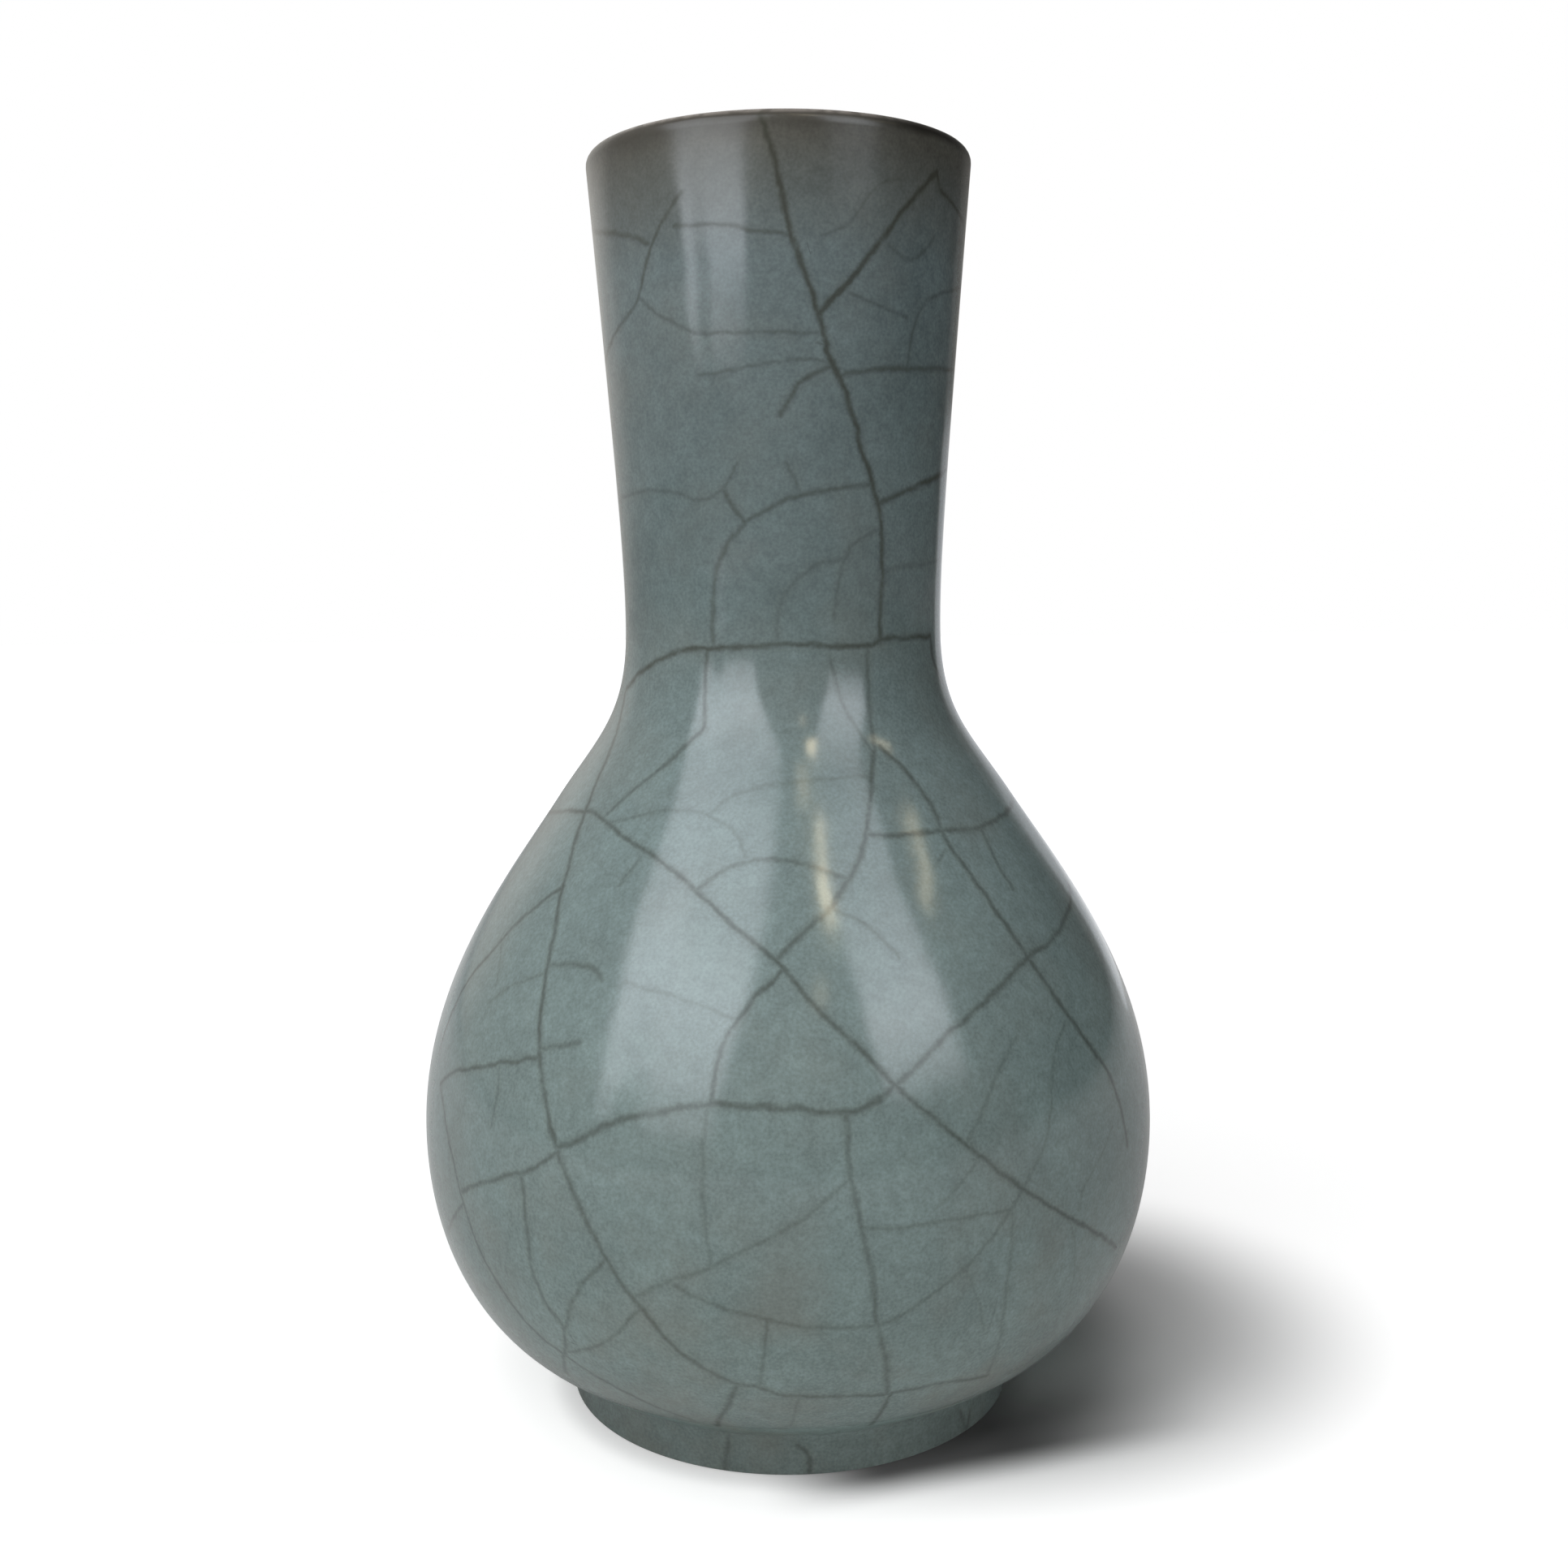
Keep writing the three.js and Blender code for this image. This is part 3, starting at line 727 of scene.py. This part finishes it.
# %% Grow the network
random = np.random.default_rng(17)
STEP = 0.8 * MM
MEETING = 1.1 * MM
FRONT_EDGE = math.radians(62)
TURNING_ROOM = 0.3
TURN_AWAY = 150
SIGHT_MARGIN = 0.04
TURN_KEPT = 0.97
TURN_NOISE = 0.12
OPEN_BEND = 14
OPEN_ROOM = 2.5 * MM
MAIN_RUN = 0.16
OTHER_RUN = 0.05
FEWEST_POINTS = 8
FOOT_STOP = LENGTHS[len(bead_line)]
LIP_STOP = LENGTHS[wall_top] - 0.5 * MM
laid = [on_coat(*c["path"].T) for c in cracks]


def nearest(point, lines):
    together = np.concatenate(lines)
    return np.linalg.norm(together - point, axis=1).min()


def run_on(start, heading, bend, longest, skip=6):
    """Follows a bending line from a place until it meets a crack, the lip or the foot."""
    path = [np.array(start)]
    turn = random.uniform(-bend, bend)
    others = np.concatenate(laid)
    for step in range(int(longest / STEP)):
        angle, length = path[-1]
        radius = np.interp(length, LENGTHS, outside[:, 0])
        turn = TURN_KEPT * turn + random.normal(0, bend * TURN_NOISE)
        heading += turn * STEP
        side = math.remainder(angle, 2 * math.pi)
        spare = abs(side) - math.acos(radius / LENS_BACK) - SIGHT_MARGIN
        if spare < TURNING_ROOM and side * math.cos(heading) < 0:
            heading -= math.copysign(TURN_AWAY * STEP, side * math.sin(heading))
        if spare < 0 and side * math.cos(heading) < 0:
            heading = math.copysign(math.pi / 2, math.sin(heading))
        onward = (angle + STEP * math.cos(heading) / radius, length + STEP * math.sin(heading))
        path.append(np.array(onward))
        if not FOOT_STOP < path[-1][1] < LIP_STOP:
            break
        gaps = np.linalg.norm(others - on_coat(*path[-1]), axis=1)
        if step > skip and gaps.min() < MEETING:
            break
    return np.array(path)


def keep(tier, path):
    cracks.append({"tier": tier, "path": path, "share": 1.0})
    laid.append(on_coat(*path.T))


open_ends = []
for index, crack in enumerate(cracks):
    for end, inner in ((crack["path"][0], crack["path"][6]), (crack["path"][-1], crack["path"][-7])):
        others = [line for k, line in enumerate(laid) if k != index]
        if abs(end[0]) > FRONT_EDGE and nearest(on_coat(*end), others) > OPEN_ROOM:
            radius = np.interp(end[1], LENGTHS, outside[:, 0])
            heading = math.atan2(end[1] - inner[1], (end[0] - inner[0]) * radius)
            if end[0] * math.cos(heading) > 0.2 * abs(end[0]):
                open_ends.append((crack["tier"], end, heading))
for tier, end, heading in open_ends:
    path = run_on(end, heading, OPEN_BEND, MAIN_RUN if tier == "main" else OTHER_RUN)
    if len(path) > FEWEST_POINTS:
        keep(tier, path)
print("open ends carried on:", len(open_ends))

# %% Fill the empty places
MAIN_ROOM = 19 * MM
BACK_EDGE = math.radians(92)
SPOTS = 1500
SPOT_MARGIN = 8 * MM
MOST_MAINS = 60
MAIN_BEND = 16
GROWN_RUN = 0.15
BRANCHES = 46
BRANCH_BEND = 45
SHORT_RUN = 0.012
spots = np.stack((random.uniform(BACK_EDGE, 2 * math.pi - BACK_EDGE, SPOTS),
                  random.uniform(FOOT_STOP + SPOT_MARGIN, LIP_STOP - SPOT_MARGIN, SPOTS)), 1)
spot_points = on_coat(*spots.T)
for _ in range(MOST_MAINS):
    mains = np.concatenate([line for line, c in zip(laid, cracks) if c["tier"] == "main"])
    grid = KDTree(len(mains))
    for k, p in enumerate(mains):
        grid.insert(p, k)
    grid.balance()
    rooms = np.array([grid.find(p)[2] for p in spot_points])
    if rooms.max() < MAIN_ROOM:
        break
    start = spots[rooms.argmax()]
    heading = random.uniform(0, math.pi)
    there = run_on(start, heading, MAIN_BEND, GROWN_RUN)
    back = run_on(start, heading + math.pi, MAIN_BEND, GROWN_RUN)
    keep("main", np.concatenate((there[:0:-1], back)))
grown_mains = [c for c in cracks if c["tier"] == "main"][len(MAIN_CRACKS):]
for _ in range(BRANCHES):
    parent = grown_mains[random.integers(len(grown_mains))]["path"]
    k = random.integers(2, len(parent) - 2)
    radius = np.interp(parent[k][1], LENGTHS, outside[:, 0])
    step = parent[k + 1] - parent[k - 1]
    along = math.atan2(step[1], step[0] * radius)
    heading = along + random.choice((-1, 1)) * random.uniform(1.1, 2.0)
    path = run_on(parent[k], heading, BRANCH_BEND, random.uniform(SHORT_RUN, OTHER_RUN), 3)
    if len(path) > FEWEST_POINTS:
        keep("fine", path)
print("cracks all round:", len(cracks), "of which main:", sum(c["tier"] == "main" for c in cracks))

# %% [markdown]
# Giving the cracks to the coat
# A crack is thinner than a face of the mesh, so painting vertices dark would only smear it. Each vertex
# keeps the arrow to the nearest point of a crack instead, counted in half widths of that crack. Between
# two vertices on either side of a crack the arrow shrinks to nothing and turns over, so its length draws
# a crisp line of the right width. Cracks that meet go on different layers, so that none disturbs another.

# %% Arrows to the nearest crack
APART = 3.4 * MM
HALF_WIDTH = {"main": 0.46 * MM, "fine": 0.39 * MM, "faint": 0.34 * MM}
DARKNESS = {"main": 0.67, "fine": 0.51, "faint": 0.31}
layer_lines = []


def is_clear(line, layer):
    gaps = (np.linalg.norm(line[::3, None] - other["points"][None, ::3], axis=2).min() for other in layer)
    return all(gap > APART for gap in gaps)


for line, crack in zip(laid, cracks):
    half = HALF_WIDTH[crack["tier"]] * math.sqrt(crack["share"]) * random.uniform(0.85, 1.15)
    dark = DARKNESS[crack["tier"]] * crack["share"] * random.uniform(0.9, 1.1)
    home = next((layer for layer in layer_lines if is_clear(line, layer)), None)
    if home is None:
        home = []
        layer_lines.append(home)
    home.append({"points": line, "half": half, "dark": dark})
LAYERS = len(layer_lines)
print("cracks on each layer:", [len(layer) for layer in layer_lines])


def nearest_on_lines(vertices, lines):
    """Arrow, half width and darkness of the nearest crack for every vertex."""
    points = np.concatenate([line["points"] for line in lines])
    owner = np.concatenate([np.full(len(line["points"]), k) for k, line in enumerate(lines)])
    tree = KDTree(len(points))
    for k, p in enumerate(points):
        tree.insert(p, k)
    tree.balance()
    found = np.array([tree.find(v)[1] for v in vertices])
    best = points[found]
    for shift in (-1, 1):
        other = np.clip(found + shift, 0, len(points) - 1)
        other = np.where(owner[other] == owner[found], other, found)
        edge = points[other] - points[found]
        size = np.maximum((edge ** 2).sum(1), 1e-18)
        t = np.clip(((vertices - points[found]) * edge).sum(1) / size, 0, 1)
        candidate = points[found] + edge * t[:, None]
        closer = np.linalg.norm(candidate - vertices, axis=1) < np.linalg.norm(best - vertices, axis=1)
        best = np.where(closer[:, None], candidate, best)
    half = np.array([line["half"] for line in lines])[owner[found]]
    dark = np.array([line["dark"] for line in lines])[owner[found]]
    return best - vertices, half, dark


# %% Arrows on the coat
mesh = outer_glaze.data
vertices = np.empty(len(mesh.vertices) * 3)
mesh.vertices.foreach_get("co", vertices)
vertices = vertices.reshape(-1, 3)
for k, lines in enumerate(layer_lines):
    arrows, half, dark = nearest_on_lines(vertices, lines)
    values = np.concatenate((arrows / half[:, None], np.linalg.norm(arrows, axis=1)[:, None] / MM), axis=1)
    mesh.attributes.new(f"crack_{k}", "FLOAT_COLOR", "POINT").data.foreach_set("color", values.ravel())
    mesh.attributes.new(f"crack_dark_{k}", "FLOAT", "POINT").data.foreach_set("value", dark)
print("attributes on the coat:", len(mesh.attributes))

# %% [markdown]
# A flat map of the coat
# For use in other programs the coat gets a flat map that the glaze can be drawn into, like a label
# unrolled from the pot: across is the turn round the axis, with the seam at the back, and up is the way
# along the outline. The hidden side of the coat gets only a narrow strip at the top.

# %% Unrolled map
SHOWN_SHARE = 0.96
coat_line = np.concatenate((outside, hidden))
up_share = np.concatenate((LENGTHS / LENGTHS[-1] * SHOWN_SHARE, np.linspace(0.97, 0.99, len(hidden))))
stations = KDTree(len(coat_line))
for k, (radius, rise) in enumerate(coat_line):
    stations.insert((radius, rise, 0), k)
stations.balance()
station = np.array([stations.find((math.hypot(x, y), z, 0))[1] for x, y, z in vertices])
corner = np.empty(len(mesh.loops), np.int32)
mesh.loops.foreach_get("vertex_index", corner)
first_corner = np.empty(len(mesh.polygons), np.int32)
mesh.polygons.foreach_get("loop_start", first_corner)
corners = np.empty(len(mesh.polygons), np.int32)
mesh.polygons.foreach_get("loop_total", corners)
middle = np.empty(len(mesh.polygons) * 3)
mesh.polygons.foreach_get("center", middle)
middle = middle.reshape(-1, 3)
turn_share = np.arctan2(vertices[:, 0], -vertices[:, 1])[corner] / (2 * math.pi) + 0.5
middle_share = np.repeat(np.arctan2(middle[:, 0], -middle[:, 1]) / (2 * math.pi) + 0.5, corners)
turn_share += np.round(middle_share - turn_share)
rise_share = up_share[station][corner]
spread = np.maximum.reduceat(rise_share, first_corner) - np.minimum.reduceat(rise_share, first_corner)
rise_share[np.repeat(spread > 0.5, corners) & (rise_share < 0.5)] = 1.0
unrolled = mesh.uv_layers.new(name="OFBake")
unrolled.uv.foreach_set("vector", np.stack((turn_share, rise_share), 1).astype(np.float32).ravel())
print("map from", turn_share.min().round(3), "to", turn_share.max().round(3), "across")

# %% [markdown]
# Celadon glaze
# The glaze is a thick feldspar glass over grey clay, coloured by a little iron: a soft grey blue-green
# with a fine grain of bubbles, cloudy where it ran thick or thin. At the lip it thins until the iron in
# the clay shows through dark brown. The colour is made in one place, from the height and from noise of
# three sizes, because the lining and the base wear the same glaze. The bands by height are partly the
# glaze's own tone and partly painted shade and light: the waist and neck are darker and the shoulder
# lighter. The right side of the lip top is darkened as painted shade, and the very top of the lip is
# paler, broken by noise.

# %% Celadon colour
CLOUD = 16 * MM
MOTTLE = 2.4 * MM
GRAIN = 0.6 * MM
BROWN_FROM = 244 * MM
BROWN_FULL = 250 * MM
BROWN_SWAY = 12 * MM
CREST_FROM = 248.7 * MM
CREST_FULL = 249.7 * MM
SHADED_LIP_FROM = 246.8 * MM
SHADED_LIP_FULL = 248.6 * MM


def celadon_colour(tree, place):
    """Nodes of the glaze colour, by height, clouds, mottling and bubble grain, and of the painted lip
    shade.
    """
    rise = add_node(tree, "SeparateXYZ", {0: place})
    share = add_node(tree, "Math", {0: rise.outputs["Z"], 1: height}, operation="DIVIDE")
    height_tone_and_shade = add_node(tree, "ValToRGB", {"Fac": share})
    ramp = height_tone_and_shade.color_ramp
    # foot, belly, shoulder, waist, upper neck and lip; the bands also hold painted shade and light
    stops = ((0.0, "#6E7A77"), (0.15, "#748582"), (0.5, "#778A8A"), (0.64, "#657575"), (0.9, "#637173"),
             (0.98, "#4E4E48"))
    while len(ramp.elements) < len(stops):
        ramp.elements.new(0.5)
    for element, (position, colour) in zip(ramp.elements, stops):
        element.position = position
        element.color = linear(colour)
    tone = height_tone_and_shade
    for size, detail, change in ((CLOUD, 3.0, 0.09), (GRAIN, 2.0, 0.14), (MOTTLE, 1.0, 0.08)):
        noise = add_node(tree, "TexNoise", {"Vector": place, "Scale": 1 / size, "Detail": detail})
        amount = add_node(tree, "MapRange", {"Value": noise, "From Min": 0.3, "From Max": 0.7,
                                             "To Min": 1 - change, "To Max": 1 + change})
        tone = add_node(tree, "VectorMath", {0: tone, "Scale": amount}, operation="SCALE")
    iron = add_node(tree, "TexNoise", {"Vector": place, "W": 5.0, "Scale": 1 / CLOUD, "Detail": 3.0},
                    noise_dimensions="4D")
    patchy = add_node(tree, "MapRange", {"Value": iron, "From Min": 0.45, "From Max": 0.7, "To Min": 0.0,
                                         "To Max": 0.5})
    lower = add_node(tree, "MapRange", {"Value": rise.outputs["Z"], "From Min": 0.02, "From Max": 0.07,
                                        "To Min": 1.0, "To Max": 0.3})
    warmth = add_node(tree, "Math", {0: patchy, 1: lower}, operation="MULTIPLY")
    warmed = add_node(tree, "Mix", {0: warmth, 6: tone, 7: linear("#78756B")}, data_type="RGBA")
    ragged = add_node(tree, "Math", {0: iron, 1: BROWN_SWAY, 2: rise.outputs["Z"]},
                      operation="MULTIPLY_ADD")
    bare = add_node(tree, "MapRange", {"Value": ragged, "From Min": BROWN_FROM + BROWN_SWAY / 2,
                                       "From Max": BROWN_FULL + BROWN_SWAY / 2, "To Max": 0.9},
                    interpolation_type="SMOOTHSTEP")
    browned = add_node(tree, "Mix", {0: bare, 6: warmed, 7: linear("#322D25")}, data_type="RGBA")
    # Painted shade: the right side of the lip top is darkened, where it turns away from the light.
    lip_top = add_node(tree, "MapRange", {"Value": rise.outputs["Z"], "From Min": SHADED_LIP_FROM,
                                          "From Max": SHADED_LIP_FULL}, interpolation_type="SMOOTHSTEP")
    lip_shade_side = add_node(tree, "MapRange", {"Value": rise.outputs["X"], "From Min": 0.012,
                                             "From Max": 0.026, "To Max": 0.9},
                          interpolation_type="SMOOTHSTEP")
    lip_painted_shade = add_node(tree, "Math", {0: lip_top, 1: lip_shade_side}, operation="MULTIPLY")
    lip_shaded = add_node(tree, "Mix", {0: lip_painted_shade, 6: browned, 7: linear("#14120E")}, data_type="RGBA")
    # The very top of the lip is paler, broken by noise, but not where it is painted dark as shade.
    lip_crest = add_node(tree, "MapRange", {"Value": rise.outputs["Z"], "From Min": CREST_FROM,
                                         "From Max": CREST_FULL}, interpolation_type="SMOOTHSTEP")
    broken = add_node(tree, "MapRange", {"Value": noise, "From Min": 0.35, "From Max": 0.6, "To Min": 0.3,
                                         "To Max": 0.7}, interpolation_type="SMOOTHSTEP")
    pale_crest = add_node(tree, "Math", {0: lip_crest, 1: broken}, operation="MULTIPLY")
    off_lip_shade = add_node(tree, "Math", {0: 1.0, 1: lip_painted_shade}, operation="SUBTRACT")
    pale = add_node(tree, "Math", {0: pale_crest, 1: off_lip_shade}, operation="MULTIPLY")
    lipped = add_node(tree, "Mix", {0: pale, 6: lip_shaded, 7: linear("#A29A93")}, data_type="RGBA")
    return lipped, lip_painted_shade


print("the lip turns brown from", round(BROWN_FROM / MM), "mm up")

# %% [markdown]
# Crackle on the coat
# Each crack is a soft-edged dark line, about a millimetre wide or less, that wavers, fades and darkens
# along its way, with a faint stain beside it. Two noises push the arrows about, one for the ragged edge
# and one for the wavering. The glaze is as smooth as glass, with a slight swell from the dipping that
# bends the reflections and a fine orange-peel skin that frays their edges. It mirrors less at the stained
# cracks, so they stay dark across a reflection, and less where it thins towards the lip and under the
# belly.

# %% Uneven arrows
JITTER = 1.3 * MM
WAVER = 4.5 * MM
PATCH = 12 * MM
glaze_material, tree = new_material("crackle_celadon_glaze")
place = add_node(tree, "TexCoord").outputs["Object"]
jitter = add_node(tree, "TexNoise", {"Vector": place, "Scale": 1 / JITTER})
waver = add_node(tree, "TexNoise", {"Vector": place, "Scale": 1 / WAVER, "Detail": 1.0})
patch = add_node(tree, "TexNoise", {"Vector": place, "Scale": 1 / PATCH, "Detail": 1.0})
pushed = add_node(tree, "VectorMath", {0: jitter.outputs["Color"], 1: (1.4, 1.4, 1.4),
                                       2: (-2.1, -2.1, -2.1)}, operation="MULTIPLY_ADD")
swayed = add_node(tree, "VectorMath", {0: waver.outputs["Color"], 1: (2.8, 2.8, 2.8), 2: pushed},
                  operation="MULTIPLY_ADD")
facing = add_node(tree, "TexCoord").outputs["Normal"]
outward = add_node(tree, "VectorMath", {0: swayed, 1: facing}, operation="DOT_PRODUCT")
off_skin = add_node(tree, "VectorMath", {0: facing, "Scale": outward}, operation="SCALE")
uneven = add_node(tree, "VectorMath", {0: swayed, 1: off_skin}, operation="SUBTRACT")
fading = add_node(tree, "MapRange", {"Value": patch, "From Min": 0.3, "From Max": 0.65, "To Min": 0.85,
                                     "To Max": 1.1})
print("nodes that push the arrows:", len(tree.nodes))

# %% Lines and stains of all layers
REACH = 1.9
lines = stains = None
for k in range(LAYERS):
    arrow = add_node(tree, "Attribute", attribute_name=f"crack_{k}")
    dark = add_node(tree, "Attribute", attribute_name=f"crack_dark_{k}")
    ragged = add_node(tree, "VectorMath", {0: arrow.outputs["Vector"], 1: uneven}, operation="ADD")
    widths = add_node(tree, "VectorMath", {0: ragged}, operation="LENGTH")
    line = add_node(tree, "MapRange", {"Value": widths, "From Min": 0.0, "From Max": 2.1, "To Min": 1.0,
                                       "To Max": 0.0}, interpolation_type="SMOOTHSTEP")
    near = add_node(tree, "MapRange", {"Value": arrow.outputs["Alpha"], "From Min": REACH,
                                       "From Max": REACH * 1.25, "To Min": 1.0, "To Max": 0.0})
    shown = add_node(tree, "Math", {0: line, 1: near}, operation="MULTIPLY")
    toned = add_node(tree, "Math", {0: shown, 1: dark.outputs["Fac"]}, operation="MULTIPLY")
    halo = add_node(tree, "MapRange", {"Value": arrow.outputs["Alpha"], "From Min": 0.1, "From Max": 1.7,
                                       "To Min": 1.0, "To Max": 0.0}, interpolation_type="SMOOTHSTEP")
    soft = add_node(tree, "Math", {0: halo, 1: dark.outputs["Fac"]}, operation="MULTIPLY")
    if lines is None:
        lines, stains = toned, soft
    else:
        lines = add_node(tree, "Math", {0: lines, 1: toned}, operation="MAXIMUM")
        stains = add_node(tree, "Math", {0: stains, 1: soft}, operation="MAXIMUM")
print("nodes with the lines:", len(tree.nodes))

# %% Colour of the cracked glaze
STAIN_STRENGTH = 0.24
LINE_STRENGTH = 0.72
celadon, lip_shade_mask = celadon_colour(tree, place)
stain_amount = add_node(tree, "Math", {0: stains, 1: STAIN_STRENGTH}, operation="MULTIPLY")
stained = add_node(tree, "Mix", {0: stain_amount, 6: celadon, 7: linear("#4A4B3F")}, data_type="RGBA")
up = add_node(tree, "SeparateXYZ", {0: place})
neckward = add_node(tree, "MapRange", {"Value": up.outputs["Z"], "From Min": 0.16, "From Max": 0.2,
                                       "To Min": 1.0, "To Max": 1.42})
deeper = add_node(tree, "Math", {0: fading, 1: neckward}, operation="MULTIPLY")
faded = add_node(tree, "Math", {0: lines, 1: deeper}, operation="MULTIPLY", use_clamp=True)
line_amount = add_node(tree, "Math", {0: faded, 1: LINE_STRENGTH}, operation="MULTIPLY")
cracked = add_node(tree, "Mix", {0: line_amount, 6: stained, 7: linear("#34352C")}, data_type="RGBA")
print("nodes with the colour:", len(tree.nodes))

# %% Skin of the glaze
SWELL = 20 * MM
PEEL = 2.2 * MM
THIN_FROM = 231 * MM
swell = add_node(tree, "TexNoise", {"Vector": place, "Scale": 1 / SWELL, "Detail": 1.0})
dipped = add_node(tree, "Bump", {"Strength": 0.5, "Distance": 0.6 * MM, "Height": swell})
peel = add_node(tree, "TexNoise", {"Vector": place, "Scale": 1 / PEEL, "Detail": 1.0})
peeled = add_node(tree, "Bump", {"Strength": 0.25, "Distance": 0.05 * MM, "Height": peel,
                                 "Normal": dipped})
groove = add_node(tree, "Math", {0: lines, 1: -1.0}, operation="MULTIPLY")
cut = add_node(tree, "Bump", {"Strength": 0.05, "Distance": 0.1 * MM, "Height": groove, "Normal": peeled})
thin = add_node(tree, "MapRange", {"Value": up.outputs["Z"], "From Min": THIN_FROM,
                                   "From Max": BROWN_FULL}, interpolation_type="SMOOTHSTEP")
dry = add_node(tree, "Math", {0: thin, 1: 0.13, 2: 0.13}, operation="MULTIPLY_ADD")
lip_mirror = add_node(tree, "Math", {0: thin, 1: -0.15, 2: 0.5}, operation="MULTIPLY_ADD")
open_crack = add_node(tree, "MapRange", {"Value": faded, "To Min": 1.0, "To Max": 0.6})
slope = add_node(tree, "SeparateXYZ", {0: facing})
under = add_node(tree, "MapRange", {"Value": slope.outputs["Z"], "From Min": -0.78, "From Max": -0.58})
glassy = add_node(tree, "Math", {0: lip_mirror, 1: under}, operation="MULTIPLY")
# The glaze hardly mirrors where the right of the lip is painted dark as shade.
off_lip_shade = add_node(tree, "Math", {0: lip_shade_mask, 1: -0.95, 2: 1.0}, operation="MULTIPLY_ADD")
polished = add_node(tree, "Math", {0: glassy, 1: off_lip_shade}, operation="MULTIPLY")
mirror = add_node(tree, "Math", {0: polished, 1: open_crack}, operation="MULTIPLY")
skin = add_node(tree, "BsdfPrincipled", {"Base Color": cracked, "Roughness": dry, "IOR": 1.5,
                                         "Specular IOR Level": mirror, "Normal": cut})
add_node(tree, "OutputMaterial", {"Surface": skin})
outer_glaze.data.materials.append(glaze_material)
print("glaze nodes:", len(tree.nodes))

# %% [markdown]
# Glaze inside and underneath
# The lining and the base wear the same glaze. Nobody can follow their cracks on the photograph, so a cell
# pattern, bent by noise, stands in for the network.

# %% Glaze of the lining and the base
CRACK_CELL = 28 * MM
CELL_BEND = 9 * MM
CRACK_HALF = 0.3 * MM
pool_material, tree = new_material("pooled_celadon_glaze")
place = add_node(tree, "TexCoord").outputs["Object"]
bend = add_node(tree, "TexNoise", {"Vector": place, "Scale": 1 / PATCH})
bent = add_node(tree, "VectorMath", {0: bend.outputs["Color"], 1: (CELL_BEND, CELL_BEND, CELL_BEND),
                                     2: place}, operation="MULTIPLY_ADD")
cells = add_node(tree, "TexVoronoi", {"Vector": bent, "Scale": 1 / CRACK_CELL},
                 feature="DISTANCE_TO_EDGE")
line = add_node(tree, "MapRange", {"Value": cells.outputs["Distance"],
                                   "From Min": 0.1 * CRACK_HALF / CRACK_CELL,
                                   "From Max": 1.7 * CRACK_HALF / CRACK_CELL, "To Min": 0.75,
                                   "To Max": 0.0}, interpolation_type="SMOOTHSTEP")
cracked = add_node(tree, "Mix", {0: line, 6: celadon_colour(tree, place)[0], 7: linear("#34352C")},
                   data_type="RGBA")
skin = add_node(tree, "BsdfPrincipled", {"Base Color": cracked, "Roughness": 0.14, "IOR": 1.5})
add_node(tree, "OutputMaterial", {"Surface": skin})
for piece in (inner_glaze, base_glaze):
    piece.data.materials.append(pool_material)
print("pooled glaze nodes:", len(tree.nodes))

# %% [markdown]
# Bare clay
# Fired stoneware is matt and gritty: sand of two tones, a few dark iron specks, and fine rings left by
# the wheel. The bare foot turned iron-brown in the fire. The clay sections and the slip seams are hidden
# by the glaze, and get the same kind of clay in paler tones.


# %% Clay materials
def clay_material(name, colour, speck, grit, ring):
    """Unglazed fired clay with grit and rings of a given spacing."""
    material, tree = new_material(name)
    place = add_node(tree, "TexCoord").outputs["Object"]
    sand = add_node(tree, "TexNoise", {"Vector": place, "Scale": 1 / grit, "Detail": 3.0})
    shade = add_node(tree, "MapRange", {"Value": sand, "From Min": 0.3, "From Max": 0.7, "To Min": 0.75,
                                        "To Max": 1.25})
    body = add_node(tree, "VectorMath", {0: linear(colour)[:3], "Scale": shade}, operation="SCALE")
    grains = add_node(tree, "TexVoronoi", {"Vector": place, "Scale": 1 / (5 * grit)})
    iron = add_node(tree, "MapRange", {"Value": grains.outputs["Distance"], "From Min": 0.1,
                                       "From Max": 0.2, "To Min": 0.8, "To Max": 0.0},
                    interpolation_type="SMOOTHSTEP")
    speckled = add_node(tree, "Mix", {0: iron, 6: body, 7: linear(speck)}, data_type="RGBA")
    rings = add_node(tree, "TexWave", {"Vector": place, "Scale": 2 * math.pi / 20 / ring,
                                       "Distortion": 0.6}, wave_type="RINGS", rings_direction="SPHERICAL")
    turned = add_node(tree, "Bump", {"Strength": 0.3, "Distance": 0.1 * MM,
                                     "Height": rings.outputs["Fac"]})
    rough = add_node(tree, "Bump", {"Strength": 0.5, "Distance": 0.1 * MM, "Height": sand,
                                    "Normal": turned})
    skin = add_node(tree, "BsdfPrincipled", {"Base Color": speckled, "Roughness": 0.85, "Normal": rough})
    add_node(tree, "OutputMaterial", {"Surface": skin})
    print(name, "nodes:", len(tree.nodes))
    return material


bare_clay = clay_material("bare_iron_brown_stoneware", "#4B3A30", speck="#241B17", grit=0.4 * MM,
                          ring=1.1 * MM)
foot_ring.data.materials.append(bare_clay)
stoneware = clay_material("buff_stoneware", "#8E8176", speck="#4A3D35", grit=0.5 * MM, ring=5 * MM)
slip = clay_material("pale_luting_slip", "#9C9084", speck="#6A5D52", grit=0.3 * MM, ring=2 * MM)
for node, material in (("lower_belly", stoneware), ("upper_belly", stoneware), ("neck", stoneware),
                       ("foot_slip_seam", slip), ("belly_slip_seam", slip), ("neck_slip_seam", slip)):
    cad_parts[node].material_slots[0].material = material
